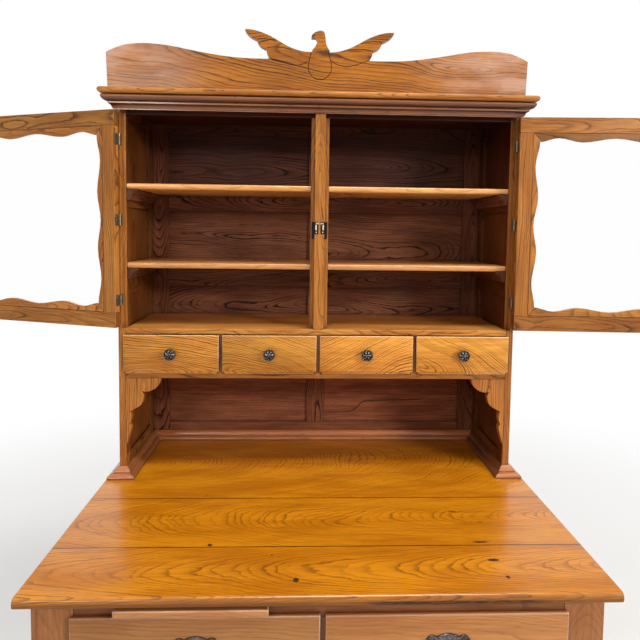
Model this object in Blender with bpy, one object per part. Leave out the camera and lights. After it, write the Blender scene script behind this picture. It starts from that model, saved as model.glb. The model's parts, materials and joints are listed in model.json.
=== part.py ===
"""Baker's cabinet: a glazed hutch with an eagle crest, on a deep base with round-bottomed flour bins.

Metres, +Z up, the floor at Z = 0, the front towards -Y. In the named sizes the hutch's front is Y = 0 and its
middle is X = 0; a rise is a height over the worktop. The doors stand open.
"""

import math

import bmesh
import bpy
from mathutils import Vector

# Air between two pieces that touch, and how far a cutter runs past a face
SEAT = 0.0003
PAST = 0.01

# Boards
BOARD = 0.019
EASE = 0.0012
WORKTOP_TOP = 0.765
WORKTOP_THICK = 0.022
WORKTOP_FRONT = -0.517
WORKTOP_NOSE = 0.009
WORKTOP_OVERHANG = 0.027
BACK_FRONT = 0.277
REAR = BACK_FRONT + BOARD

# Hutch: inner half width, heights over the worktop
INNER_HALF = 0.530
OUTER_HALF = INNER_HALF + BOARD
WORKTOP_SIDE_REACH = 0.029
WORKTOP_HALF = OUTER_HALF + WORKTOP_SIDE_REACH
HUTCH_RISE = 1.0422
DOORWAY_DROP = 0.0367
DOORWAY_RISE = HUTCH_RISE - DOORWAY_DROP
REBATE_DEPTH = 0.0195
REBATE_WIDTH = 0.0095
DECK_RISE = 0.415
DECK_THICK = 0.0155
SMALL_SPACE = 0.1092
FLOOR_RISE = DECK_RISE - DECK_THICK - SMALL_SPACE
FLOOR_THICK = 0.0138
TOP_RAIL_DEPTH = 0.036
TOP_RAIL_DROP = 0.0075
MULLION_HALF = 0.014
MULLION_FLANGE_HALF = 0.0245
SHELF_SHARES = {"upper": 0.674, "lower": 0.3057}
SHELF_RISES = {level: DECK_RISE + (DOORWAY_RISE - DECK_RISE) * share for level, share in SHELF_SHARES.items()}
SHELF_THICK = 0.016
SHELF_FRONT = 0.022
SHELF_NOSE = 0.005

# Framed panels of the hutch: stiles, and the panels' lower and upper edges as shares of its height
FRONT_STILE = 0.036
REAR_STILE = 0.036
BACK_STILE = 0.0525
BACK_MUNTIN_HALF = 0.027
PANEL_ROW_SHARES = ((0.0551, 0.2735), (0.3886, 0.4855), (0.5373, 0.7183), (0.7701, 0.9499))
PANEL_SET_IN = 0.007
PANEL_SET_OUT = 0.005

# Shelf cleat: how far it stands from the side and how deep it hangs, from the shelf's underside down
CLEAT_PROFILE = (
    (0.0280, 0.0),
    (0.0280, 0.0045),
    (0.0255, 0.0055),
    (0.0195, 0.0080),
    (0.0150, 0.0125),
    (0.0130, 0.0180),
    (0.0115, 0.0190),
    (0.0110, 0.0235),
    (0.0080, 0.0285),
    (0.0050, 0.0300),
)

# Cornice: profile as reach from the hutch's face and height over the doorway's head, from the bottom up
CORNICE_PROFILE = (
    (0.0052, 0.0000),
    (0.0052, 0.0026),
    (0.0078, 0.0030),
    (0.0084, 0.0062),
    (0.0098, 0.0092),
    (0.0122, 0.0118),
    (0.0155, 0.0134),
    (0.0166, 0.0146),
    (0.0166, 0.0184),
    (0.0205, 0.0190),
    (0.0252, 0.0210),
    (0.0288, 0.0244),
    (0.0308, 0.0288),
    (0.0312, 0.0318),
    (0.0300, 0.0340),
    (0.0270, 0.0352),
    (0.0200, 0.0355),
)
LEDGE_REACH = 0.037
LEDGE_THICK = 0.0168
LEDGE_RISE = HUTCH_RISE + LEDGE_THICK
LEDGE_NOSE = 0.0075

# Crest board: half outline as distance from its middle and height over the ledge
CREST_MIDDLE = -0.006
CREST_FRONT = -0.020
CREST_THICK = 0.020
CREST_FOOT_HALF = 0.558
CREST_SWELL = (
    (0.561, 0.0910),
    (0.537, 0.1022),
    (0.510, 0.1110),
    (0.464, 0.1156),
    (0.400, 0.1115),
    (0.319, 0.0972),
    (0.250, 0.0872),
    (0.190, 0.0832),
    (0.130, 0.0830),
)
EAGLE_LOW_FEATHER = ((0.130, 0.0835), (0.136, 0.0900), (0.140, 0.0986), (0.1415, 0.1057), (0.143, 0.1092))
EAGLE_MIDDLE_FEATHER = ((0.143, 0.1095), (0.154, 0.1140), (0.162, 0.1213), (0.1665, 0.1303), (0.168, 0.1325))
EAGLE_TIP_FEATHER = ((0.168, 0.1328), (0.1805, 0.1388), (0.190, 0.1460), (0.1975, 0.1550), (0.197, 0.1581))
EAGLE_WING_TOP = (
    (0.197, 0.1581),
    (0.1855, 0.1578),
    (0.1675, 0.1550),
    (0.148, 0.1490),
    (0.127, 0.1400),
    (0.106, 0.1285),
    (0.085, 0.1172),
    (0.065, 0.1095),
    (0.045, 0.1045),
    (0.026, 0.1032),
)
EAGLE_BREAST = ((-0.0206, 0.1033), (-0.0194, 0.1085), (-0.0128, 0.1164), (-0.0076, 0.1269), (-0.0069, 0.1347))
EAGLE_BEAK = ((-0.0069, 0.1347), (-0.0099, 0.1393), (-0.0144, 0.1413), (-0.0224, 0.1413))
EAGLE_HEAD = (
    (-0.0224, 0.1413),
    (-0.0216, 0.1460),
    (-0.0185, 0.1499),
    (-0.0133, 0.1540),
    (-0.0080, 0.1567),
    (-0.0001, 0.1592),
    (0.0079, 0.1578),
    (0.0127, 0.1520),
    (0.0150, 0.1404),
    (0.0168, 0.1249),
    (0.0217, 0.1147),
    (0.0258, 0.1083),
    (0.0270, 0.1038),
)
CURVE_STEPS = 3

# Scalloped bracket: outline as distance from the hutch's side and drop under the drawer floor, one tuple a lobe
BRACKET_LOBES = (
    ((0.0960, 0.0), (0.0905, 0.0175), (0.0770, 0.0310), (0.0575, 0.0380), (0.0435, 0.0360)),
    ((0.0435, 0.0360), (0.0475, 0.0450), (0.0480, 0.0540), (0.0445, 0.0680), (0.0355, 0.0795), (0.0107, 0.0930)),
    ((0.0107, 0.0930), (0.0135, 0.1005), (0.0147, 0.1095), (0.0125, 0.1210), (0.0085, 0.1293)),
    ((0.0085, 0.1293), (0.0125, 0.1380), (0.0120, 0.1480), (0.0060, 0.1700), (0.0003, 0.1895)),
)

# Base moulding: profile as reach from the wood and rise, from the worktop up, and its reach along the back
BASE_PROFILE = (
    (0.0262, 0.0),
    (0.0262, 0.0014),
    (0.0275, 0.0022),
    (0.0275, 0.0045),
    (0.0258, 0.0076),
    (0.0222, 0.0103),
    (0.0178, 0.0123),
    (0.0145, 0.0130),
    (0.0120, 0.0138),
    (0.0134, 0.0148),
    (0.0124, 0.0180),
    (0.0096, 0.0222),
    (0.0058, 0.0260),
    (0.0020, 0.0285),
)
BASE_BACK_REACH_SHARE = 0.65

# Small drawers over the niche
SMALL_END_OVERLAP = 0.0045
SMALL_FRONT_GAP = 0.009
SMALL_PITCH = INNER_HALF / 2 + SMALL_END_OVERLAP
SMALL_FRONT = (SMALL_PITCH - SMALL_FRONT_GAP, 0.102)
SMALL_FRONT_FOOT = 0.0062
SMALL_LIP = 0.008
SMALL_PLAY = 0.001
SMALL_BOX = (SMALL_PITCH - BOARD - 2 * SMALL_PLAY, 0.262, 0.100)
SMALL_SIDE = 0.010
SMALL_BOTTOM = 0.006
INNER_FRONT = 0.011
FRONT_EASE = 0.0025

# Knob of a small drawer: distance from the front and radius
KNOB_PROFILE = (
    (0.0, 0.0085),
    (0.0035, 0.0078),
    (0.0075, 0.0070),
    (0.0100, 0.0090),
    (0.0125, 0.0145),
    (0.0150, 0.0163),
    (0.0175, 0.0160),
    (0.0195, 0.0138),
    (0.0200, 0.0118),
    (0.0190, 0.0105),
    (0.0210, 0.0070),
)
KNOB_SIDES = 24

# Doors: hinge pin, leaf sizes from the pin, open angles
PIN_X = INNER_HALF + REBATE_WIDTH
PIN_Y = -0.0045
DOOR_EDGE = 0.001
DOOR_MEETING_GAP = 0.002
DOOR_WIDTH = PIN_X - DOOR_EDGE - MULLION_HALF - DOOR_MEETING_GAP
DOOR_FACE = 0.003
DOOR_FOOT_GAP = 0.005
DOOR_HEAD_GAP = 0.0033
DOOR_RISES = (DECK_RISE + DOOR_FOOT_GAP, DOORWAY_RISE - DOOR_HEAD_GAP)
DOOR_STILE = 0.0355
DOOR_RAIL = 0.0410
GLASS_LIP = 0.0045
GLASS_THICK = 0.003
FILLET_THICK = 0.008
FILLET_WIDE_UP = 0.0185
FILLET_NARROW_UP = 0.0085
FILLET_WIDE_ACROSS = 0.0245
FILLET_NARROW_ACROSS = 0.0135
FILLET_UP_SHARES = (0.0, 0.148, 0.333, 0.5, 0.667, 0.852, 1.0)
FILLET_ACROSS_SHARES = (0.0, 0.128, 0.285, 0.5, 0.715, 0.872, 1.0)
FILLET_STEPS = 4
LEFT_OPEN = math.radians(198.9)
RIGHT_OPEN = math.radians(176.4)
HINGE_SHARES = {"top": 0.8691, "middle": 0.4998, "bottom": 0.1271}
HINGE_RISES = {word: DOOR_RISES[0] + (DOOR_RISES[1] - DOOR_RISES[0]) * share for word, share in HINGE_SHARES.items()}
HINGE_HALF = 0.015
HINGE_BARREL = 0.0032
HINGE_LEAF = 0.0009
HINGE_LEAF_REACH = 0.021
BARREL_SIDES = 16

# Catch plates bent round the mullion's edges
CATCH_SHARES = (0.4259, 0.5047)
CATCH_RISES = [DECK_RISE + (DOORWAY_RISE - DECK_RISE) * share for share in CATCH_SHARES]
CATCH_INNER = 0.003
CATCH_OUTER = 0.0215
CATCH_THICK = 0.0009

# Lower case, heights from the floor
WORKTOP_SIDE_OVERHANG = 0.0215
CASE_HALF = WORKTOP_HALF - WORKTOP_SIDE_OVERHANG
CASE_FRONT = WORKTOP_FRONT + WORKTOP_OVERHANG
FRAME_THICK = 0.022
CASE_STILE = 0.081
STILE_INNER = CASE_HALF - CASE_STILE
MUNTIN_HALF = 0.0108
CASE_TOP_RAIL = 0.058
DRAWER_SPACE = 0.107
MIDDLE_RAIL_THICK = 0.028
BIN_SPACE = 0.272
APRON_DEPTH = 0.060
TOP_RAIL_FOOT = WORKTOP_TOP - CASE_TOP_RAIL
MIDDLE_RAIL_TOP = TOP_RAIL_FOOT - DRAWER_SPACE
MIDDLE_RAIL = (MIDDLE_RAIL_TOP - MIDDLE_RAIL_THICK, MIDDLE_RAIL_TOP)
MUNTIN_FOOT = MIDDLE_RAIL[0] - BIN_SPACE
DUST_THICK = 0.014
APRON_FOOT = MUNTIN_FOOT - APRON_DEPTH
APRON_BEND = 0.045
LEG_FRONT = 0.060
LEG_REAR = 0.062
CASE_RAIL = 0.055
CASE_MUNTIN = 0.060
RUNNER_DROPS = (0.037, 0.022)
RUNNER_HEIGHTS = [MIDDLE_RAIL[0] - drop for drop in RUNNER_DROPS]
RUNNER_PLAY = 0.00175
PARTITION_HALF = 0.0095

# Large drawers: the fronts lap over the frame, the boxes have play in it
LARGE_OPENING = STILE_INNER - MUNTIN_HALF
LARGE_MIDDLE = (STILE_INNER + MUNTIN_HALF) / 2
LARGE_SIDE_OVERLAP = 0.006
LARGE_FOOT_OVERLAP = 0.005
LARGE_FRONT = (LARGE_OPENING + 2 * LARGE_SIDE_OVERLAP, 0.120)
LARGE_FOOT = MIDDLE_RAIL[1] - LARGE_FOOT_OVERLAP
LARGE_LIP = 0.010
LARGE_PLAY = 0.0012
LARGE_BOX = (LARGE_OPENING - 2 * LARGE_PLAY, 0.440, 0.098)
LARGE_SIDE = 0.012
LARGE_BOTTOM = 0.008

# Bread board and the tray that guides it
BREAD_SHIFT = 0.0063
BREAD_MIDDLE = -LARGE_MIDDLE - BREAD_SHIFT
BREAD_HALF = 0.14605
BREAD_THICK = 0.014
BREAD_GAP = 0.0045
BREAD_INSET = 0.002
BREAD_FRONT = WORKTOP_FRONT + BREAD_INSET
BREAD_DEPTH = 0.445
BREAD_EASE = 0.003
SLOT_PLAY = 0.0015
TRAY_REACH = 0.018
TRAY_LEDGE = 0.012
TRAY_THICK = 0.0165
TRAY_STOP = 0.015
TRAY_BRIDGE = 0.045

# Pulls of the large drawers
PULL_HEIGHT = LARGE_FOOT + LARGE_FRONT[1] / 2
PULL_PLATE = (
    (0.0, 0.0230),
    (0.0070, 0.0185),
    (0.0140, 0.0165),
    (0.0240, 0.0155),
    (0.0300, 0.0115),
    (0.0370, 0.0125),
    (0.0435, 0.0090),
    (0.0440, 0.0),
    (0.0435, -0.0060),
    (0.0360, -0.0100),
    (0.0200, -0.0120),
    (0.0100, -0.0170),
    (0.0, -0.0225),
)
PULL_THICK = 0.002
PULL_POST_X = 0.030
PULL_POST = 0.0045
PULL_PIVOT_OUT = 0.008
PULL_PIVOT_DROP = 0.003
PULL_BORE = 0.0023
BORE_SIDES = 24
BAIL_ROD = 0.0022
BAIL_HALF = 0.0405
BAIL_DROP = 0.030
BAIL_TOP_BEND = 0.004
BAIL_LOW_BEND = 0.012
BEND_STEPS = 5
ROD_SIDES = 12

# Flour bins: a box with a round bottom that starts under the flat front, depths from the case's front
BATTEN_ROOM = 0.01895
BIN_HALF = LARGE_OPENING / 2 - BATTEN_ROOM
BIN_HEAD_ROOM = 0.0067
BIN_TOP = MIDDLE_RAIL[0] - BIN_HEAD_ROOM
BIN_HEAD_OVERLAP = 0.013
BIN_FRONT = (MUNTIN_FOOT, MIDDLE_RAIL[0] + BIN_HEAD_OVERLAP)
BELLY_DEPTH = 0.260
BELLY_OVER_FRONT_FOOT = 0.1658
BELLY_HEIGHT = BIN_FRONT[0] + BELLY_OVER_FRONT_FOOT
BELLY_RADIUS = 0.3008
BELLY_STEPS = 20
BIN_WALL = 0.010
BIN_SIDE = 0.012
BIN_BATTEN = 0.015
BIN_KNOB_OVER_FOOT = 0.170
BIN_KNOB_HEIGHT = BIN_FRONT[0] + BIN_KNOB_OVER_FOOT
BIN_KNOB_PROFILE = (
    (-0.004, 0.0080),
    (0.0060, 0.0075),
    (0.0100, 0.0120),
    (0.0150, 0.0180),
    (0.0200, 0.0180),
    (0.0240, 0.0130),
)

# Colours as red, green and blue, then roughness and metallic value
FINISHES = {
    "oak": ((0.42, 0.19, 0.055), 0.42, 0.0),
    "oak_front": ((0.55, 0.28, 0.09), 0.38, 0.0),
    "oak_top": ((0.58, 0.26, 0.045), 0.32, 0.0),
    "oak_inside": ((0.22, 0.09, 0.035), 0.55, 0.0),
    "brass": ((0.42, 0.33, 0.19), 0.38, 1.0),
    "pewter": ((0.14, 0.12, 0.11), 0.35, 1.0),
    "nickel": ((0.30, 0.29, 0.27), 0.35, 1.0),
    "glass": ((0.90, 0.93, 0.92), 0.03, 0.0),
}


def up(rise):
    """The height of a rise over the worktop."""
    return WORKTOP_TOP + rise


def clear_scene():
    for old in list(bpy.data.objects):
        bpy.data.objects.remove(old, do_unlink=True)


def make_finishes():
    made = {}
    for name, (colour, roughness, metallic) in FINISHES.items():
        finish = bpy.data.materials.new(name)
        finish.use_nodes = True
        shader = finish.node_tree.nodes["Principled BSDF"]
        shader.inputs["Base Color"].default_value = (*colour, 1.0)
        shader.inputs["Roughness"].default_value = roughness
        shader.inputs["Metallic"].default_value = metallic
        shader.inputs["Transmission Weight"].default_value = float(name == "glass")
        made[name] = finish
    return made


# Shapes


def along(axis, distance, pair):
    """The point whose place on the axis is the distance and whose other two values are the pair."""
    point = list(pair)
    point.insert("XYZ".index(axis), distance)
    return Vector(point)


def loft(rings, closed=False):
    """A body whose skin runs through the rings of points, capped at both ends unless it closes on itself."""
    shape = bmesh.new()
    verts = [[shape.verts.new(point) for point in ring] for ring in rings]
    if not closed:
        shape.faces.new(verts[0])
        shape.faces.new(verts[-1][::-1])
    pairs = list(zip(verts, verts[1:])) + ([(verts[-1], verts[0])] if closed else [])
    for one, two in pairs:
        for index in range(len(one)):
            shape.faces.new((one[index - 1], one[index], two[index], two[index - 1]))
    bmesh.ops.recalc_face_normals(shape, faces=shape.faces)
    return shape


def bar(outline, axis, start, end):
    """A straight bar with the outline as its section."""
    return loft([[along(axis, distance, pair) for pair in outline] for distance in (start, end)])


def block(low, high, ease=0.0, steps=1, picked=None):
    """A box whose edges, or the picked ones, are eased."""
    shape = bmesh.new()
    bmesh.ops.create_cube(shape, size=1)
    for vert in shape.verts:
        vert.co = [low[k] if vert.co[k] < 0 else high[k] for k in range(3)]
    if ease:
        edges = [edge for edge in shape.edges if picked is None or picked(edge)]
        bmesh.ops.bevel(shape, geom=edges, offset=ease, segments=steps, profile=0.5, affect="EDGES")
    return shape


def turned(profile, sides, middle, axis="Y", direction=-1):
    """The profile's pairs of distance and radius turned round an axis through the middle point."""
    rings = []
    for distance, radius in profile:
        ring = []
        for index in range(sides):
            angle = math.tau * index / sides
            pair = (radius * math.cos(angle), radius * math.sin(angle))
            ring.append(Vector(middle) + along(axis, direction * distance, pair))
        rings.append(ring)
    return loft(rings)


def moulding(path, profile, share_of=None):
    """The profile's pairs of reach and height carried along square turns of the path, to the right of its way."""
    normals = []
    for index, (one, two) in enumerate(zip(path, path[1:])):
        way = (Vector(two) - Vector(one)).normalized()
        share = (share_of or {}).get(index, 1.0)
        normals.append(Vector((way.y, -way.x)) * share)
    rings = []
    for index, corner in enumerate(path):
        mitre = sum((normals[k] for k in (index - 1, index) if 0 <= k < len(normals)), Vector((0, 0)))
        rings.append([(*(Vector(corner) + mitre * reach), height) for reach, height in profile])
    return loft(rings)


def curve(points, steps=CURVE_STEPS):
    """Points of a smooth curve through the given ones, without the last."""
    padded = [points[0], *points, points[-1]]
    found = []
    for index in range(len(points) - 1):
        before, start, end, after = (Vector(p) for p in padded[index : index + 4])
        for step in range(steps):
            t = step / steps
            a = 2 * start
            b = (end - before) * t
            c = (2 * before - 5 * start + 4 * end - after) * t**2
            d = (3 * start - before - 3 * end + after) * t**3
            found.append(tuple((a + b + c + d) / 2))
    return found


def mirrored(shape):
    """The shape's mirror image across X = 0."""
    bmesh.ops.scale(shape, vec=(-1, 1, 1), verts=shape.verts)
    bmesh.ops.reverse_faces(shape, faces=shape.faces)
    return shape


def sided(shape, side):
    return mirrored(shape) if side < 0 else shape


def put_in_scene(name, shape):
    mesh = bpy.data.meshes.new(name)
    shape.to_mesh(mesh)
    shape.free()
    made = bpy.data.objects.new(name, mesh)
    bpy.context.scene.collection.objects.link(made)
    return made


def combined(shape, tools, operation):
    """The shape with each tool joined to it or cut from it."""
    body = put_in_scene("body", shape)
    cutters = []
    for tool in tools:
        cutter = put_in_scene("cutter", tool)
        cutter.hide_render = True
        cutter.display_type = "WIRE"
        step = body.modifiers.new("step", "BOOLEAN")
        step.operation = operation
        step.solver = "EXACT"
        step.object = cutter
        cutters.append(cutter)
    result = bmesh.new()
    result.from_object(body, bpy.context.evaluated_depsgraph_get())
    for helper in (body, *cutters):
        bpy.data.objects.remove(helper, do_unlink=True)
    return result


def cut(shape, *tools):
    return combined(shape, tools, "DIFFERENCE")


def joined(shape, *tools):
    return combined(shape, tools, "UNION")


def piece(name, shape, finish, parent):
    """One sub-part, its shape given in the parent's frame."""
    made = put_in_scene(name, shape)
    made.data.materials.clear()
    made.data.materials.append(finish)
    made.parent = parent
    return made


def pivot(name, location, parent, turn=0.0):
    """An empty that carries one moving group."""
    made = bpy.data.objects.new(name, None)
    made.location = location
    made.rotation_euler.z = turn
    made.parent = parent
    bpy.context.scene.collection.objects.link(made)
    return made


# Hutch


def pockets(make_pocket, columns):
    """The cutters of every panel of a framed board."""
    rows = [(up(HUTCH_RISE * low), up(HUTCH_RISE * high)) for low, high in PANEL_ROW_SHARES]
    return [make_pocket(column, low, high) for column in columns for low, high in rows]


def hinge_mortises():
    for rise in HINGE_RISES.values():
        low = (PIN_X - PAST, -PAST, up(rise) - HINGE_HALF - SEAT)
        leaf_end = PIN_Y + HINGE_LEAF_REACH + SEAT
        yield block(low, (PIN_X + HINGE_LEAF + SEAT, leaf_end, up(rise) + HINGE_HALF + SEAT))


def hutch_side():
    """A framed side with the door's rebate in its front corner and the hinges' mortises."""

    def inner(column, low, high):
        return block((INNER_HALF - PAST, column[0], low), (INNER_HALF + PANEL_SET_IN, column[1], high))

    def outer(column, low, high):
        return block((OUTER_HALF - PANEL_SET_OUT, column[0], low), (OUTER_HALF + PAST, column[1], high))

    columns = ((FRONT_STILE, BACK_FRONT - REAR_STILE),)
    board = block((INNER_HALF, 0, up(SEAT)), (OUTER_HALF, REAR, up(HUTCH_RISE)), EASE)
    rebate = block(
        (INNER_HALF - PAST, -PAST, up(DECK_RISE)),
        (INNER_HALF + REBATE_WIDTH, REBATE_DEPTH, up(DOORWAY_RISE)),
    )
    return cut(board, rebate, *pockets(inner, columns), *pockets(outer, columns), *hinge_mortises())


def hutch_back():
    """The framed back, four rows of panels in two columns."""

    def front(column, low, high):
        return block((column[0], BACK_FRONT - PAST, low), (column[1], BACK_FRONT + PANEL_SET_IN, high))

    def rear(column, low, high):
        return block((column[0], REAR - PANEL_SET_OUT, low), (column[1], REAR + PAST, high))

    half = INNER_HALF - SEAT
    edge = INNER_HALF - BACK_STILE
    columns = ((-edge, -BACK_MUNTIN_HALF), (BACK_MUNTIN_HALF, edge))
    board = block((-half, BACK_FRONT, up(SEAT)), (half, REAR, up(HUTCH_RISE)))
    return cut(board, *pockets(front, columns), *pockets(rear, columns))


def top_rail():
    """The rail behind the cornice, with the doors' rebate under it."""
    outline = (
        (0, up(DOORWAY_RISE)),
        (REBATE_DEPTH, up(DOORWAY_RISE)),
        (REBATE_DEPTH, up(DOORWAY_RISE - TOP_RAIL_DROP)),
        (TOP_RAIL_DEPTH, up(DOORWAY_RISE - TOP_RAIL_DROP)),
        (TOP_RAIL_DEPTH, up(HUTCH_RISE)),
        (0, up(HUTCH_RISE)),
    )
    return bar(outline, "X", -INNER_HALF + SEAT, INNER_HALF - SEAT)


def across_hutch(front, low, high, ease=0.0, steps=1, picked=None):
    """A board between the hutch's sides, from the front to the back panel."""
    half = INNER_HALF - SEAT
    return block((-half, front, up(low)), (half, BACK_FRONT - SEAT, up(high)), ease, steps, picked)


def at_front(edge, front):
    """Whether the edge runs across the board at its front."""
    one, two = (vert.co for vert in edge.verts)
    return one.z == two.z and max(abs(one.y - front), abs(two.y - front)) < SEAT


def mullion():
    """The centre post, whose set-back flanges are the doors' rebates."""
    outline = (
        (-MULLION_HALF, 0),
        (MULLION_HALF, 0),
        (MULLION_HALF, REBATE_DEPTH),
        (MULLION_FLANGE_HALF, REBATE_DEPTH),
        (MULLION_FLANGE_HALF, TOP_RAIL_DEPTH),
        (-MULLION_FLANGE_HALF, TOP_RAIL_DEPTH),
        (-MULLION_FLANGE_HALF, REBATE_DEPTH),
        (-MULLION_HALF, REBATE_DEPTH),
    )
    post = bar(outline, "Z", up(DECK_RISE + SEAT), up(DOORWAY_RISE - SEAT))
    top = up(DOORWAY_RISE - TOP_RAIL_DROP - SEAT)
    half = MULLION_FLANGE_HALF + PAST
    return cut(post, block((-half, REBATE_DEPTH - SEAT, top), (half, TOP_RAIL_DEPTH + PAST, top + PAST)))


def shelf(rise):
    """A shelf with a rounded nose, notched round the mullion."""
    board = across_hutch(
        SHELF_FRONT, rise - SHELF_THICK, rise, SHELF_NOSE, 3, lambda edge: at_front(edge, SHELF_FRONT)
    )
    half = MULLION_FLANGE_HALF + SEAT
    low = (-half, SHELF_FRONT - PAST, up(rise - SHELF_THICK) - PAST)
    return cut(board, block(low, (half, TOP_RAIL_DEPTH + SEAT, up(rise) + PAST)))


def cleat(rise):
    """The moulded strip that carries one end of a shelf."""
    top = up(rise - SHELF_THICK) - SEAT
    wall = INNER_HALF - SEAT
    outline = [(wall, top)] + [(wall - out, top - drop) for out, drop in CLEAT_PROFILE]
    outline.append((wall, top - CLEAT_PROFILE[-1][1]))
    return bar(outline, "Y", SHELF_FRONT + SEAT, BACK_FRONT - SEAT)


def drawer_floor():
    """The board over the niche with the three dividers between the small drawers."""
    board = across_hutch(0, FLOOR_RISE - FLOOR_THICK, FLOOR_RISE, EASE, 1, lambda edge: at_front(edge, 0))
    foot = up(FLOOR_RISE - FLOOR_THICK / 2)
    top = up(DECK_RISE - DECK_THICK - SEAT)
    dividers = []
    for place in (-SMALL_PITCH, 0, SMALL_PITCH):
        low = (place - BOARD / 2, EASE, foot)
        dividers.append(block(low, (place + BOARD / 2, BACK_FRONT - 2 * SEAT, top)))
    return joined(board, *dividers)


def bracket():
    """A scalloped corner bracket under the drawer floor."""
    wall = INNER_HALF - SEAT
    top = up(FLOOR_RISE - FLOOR_THICK - SEAT)
    edge = [point for lobe in BRACKET_LOBES for point in curve(lobe)] + [BRACKET_LOBES[-1][-1]]
    outline = [(wall, top)] + [(wall - out, top - drop) for out, drop in edge]
    return bar(outline, "Y", 0, BOARD)


def base_moulding():
    """The two-step moulding that runs outside, round the posts, along the inner sides and along the back."""
    path = (
        (-OUTER_HALF, REAR),
        (-OUTER_HALF, 0),
        (-INNER_HALF, 0),
        (-INNER_HALF, BACK_FRONT),
        (INNER_HALF, BACK_FRONT),
        (INNER_HALF, 0),
        (OUTER_HALF, 0),
        (OUTER_HALF, REAR),
    )
    heights = [(reach, up(rise) + (SEAT if rise == 0 else 0)) for reach, rise in BASE_PROFILE]
    profile = [(SEAT, up(SEAT)), *heights, (SEAT, up(BASE_PROFILE[-1][1]))]
    return moulding(path, profile, {3: BASE_BACK_REACH_SHARE})


def cornice_moulding():
    """The ovolo and cove moulding on three sides."""
    path = ((-OUTER_HALF, REAR), (-OUTER_HALF, 0), (OUTER_HALF, 0), (OUTER_HALF, REAR))
    outer = [(reach, up(DOORWAY_RISE + height)) for reach, height in CORNICE_PROFILE]
    neck = CORNICE_PROFILE[-1][0]
    profile = [(SEAT, up(DOORWAY_RISE)), *outer, (neck, up(HUTCH_RISE)), (SEAT, up(HUTCH_RISE))]
    return moulding(path, profile)


def cornice_ledge():
    """The bullnosed board on top of the cornice."""
    half = OUTER_HALF + LEDGE_REACH

    def rounded(edge):
        one, two = (vert.co for vert in edge.verts)
        return one.x == two.x and one.z == two.z or at_front(edge, -LEDGE_REACH)

    low = (-half, -LEDGE_REACH, up(HUTCH_RISE + SEAT))
    return block(low, (half, REAR, up(LEDGE_RISE)), LEDGE_NOSE, 4, rounded)


def crest_outline():
    """Half outlines of swell and wing on both sides of the eagle's head, from the left foot to the right."""
    wing = [
        *curve(CREST_SWELL),
        *curve(EAGLE_LOW_FEATHER),
        *curve(EAGLE_MIDDLE_FEATHER),
        *curve(EAGLE_TIP_FEATHER),
        *curve(EAGLE_WING_TOP),
        EAGLE_WING_TOP[-1],
    ]
    head = [*curve(EAGLE_BREAST), *curve(EAGLE_BEAK), *curve(EAGLE_HEAD)]
    half = [(CREST_FOOT_HALF, 0.0), *wing]
    left = [(-out, height) for out, height in half]
    return [*left, *head, *reversed(half)]


def crest_board():
    """The shaped board on the ledge, with an eagle cut in the middle of its top edge."""
    foot = up(LEDGE_RISE + SEAT)
    outline = [(CREST_MIDDLE + out, foot + height) for out, height in crest_outline()]
    return bar(outline, "Y", CREST_FRONT, CREST_FRONT + CREST_THICK)


def catch_plate():
    """A thin plate bent over the mullion's edge into the rebate."""
    shoulder = MULLION_HALF + SEAT
    floor = REBATE_DEPTH - SEAT
    outline = (
        (CATCH_INNER, -SEAT - CATCH_THICK),
        (shoulder + CATCH_THICK, -SEAT - CATCH_THICK),
        (shoulder + CATCH_THICK, floor - CATCH_THICK),
        (CATCH_OUTER, floor - CATCH_THICK),
        (CATCH_OUTER, floor),
        (shoulder, floor),
        (shoulder, -SEAT),
        (CATCH_INNER, -SEAT),
    )
    return bar(outline, "Z", up(CATCH_RISES[0]), up(CATCH_RISES[1]))


def hinge(rise):
    """The case's half of a butt hinge: its barrel and the leaf let into the rebate's shoulder."""
    low, high = up(rise) - HINGE_HALF, up(rise) + HINGE_HALF
    ends = ((low, HINGE_BARREL), (high, HINGE_BARREL))
    barrel = turned(ends, BARREL_SIDES, (PIN_X, PIN_Y, 0), "Z", 1)
    leaf = block((PIN_X, PIN_Y, low + SEAT), (PIN_X + HINGE_LEAF, PIN_Y + HINGE_LEAF_REACH, high - SEAT))
    return joined(barrel, leaf)


def build_hutch(root, finish):
    for side, word in ((-1, "left"), (1, "right")):
        piece(f"hutch_side_{word}", sided(hutch_side(), side), finish["oak"], root)
        piece(f"bracket_{word}", sided(bracket(), side), finish["oak"], root)
        piece(f"catch_{word}", sided(catch_plate(), side), finish["nickel"], root)
        for level, rise in SHELF_RISES.items():
            piece(f"cleat_{level}_{word}", sided(cleat(rise), side), finish["oak_inside"], root)
        for level, rise in HINGE_RISES.items():
            piece(f"hinge_{level}_{word}", sided(hinge(rise), side), finish["brass"], root)
    for level, rise in SHELF_RISES.items():
        piece(f"shelf_{level}", shelf(rise), finish["oak"], root)
    piece("hutch_back", hutch_back(), finish["oak_inside"], root)
    piece("hutch_top_rail", top_rail(), finish["oak"], root)
    ceiling = across_hutch(TOP_RAIL_DEPTH + SEAT, HUTCH_RISE - BOARD, HUTCH_RISE)
    piece("hutch_top_board", ceiling, finish["oak_inside"], root)
    piece("cornice_moulding", cornice_moulding(), finish["oak"], root)
    piece("cornice_ledge", cornice_ledge(), finish["oak"], root)
    piece("crest_board", crest_board(), finish["oak"], root)
    piece("mullion", mullion(), finish["oak"], root)
    deck = across_hutch(0, DECK_RISE - DECK_THICK, DECK_RISE, EASE, 1, lambda edge: at_front(edge, 0))
    piece("deck", deck, finish["oak"], root)
    piece("drawer_floor", drawer_floor(), finish["oak"], root)
    piece("base_moulding", base_moulding(), finish["oak"], root)


# Doors


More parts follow.
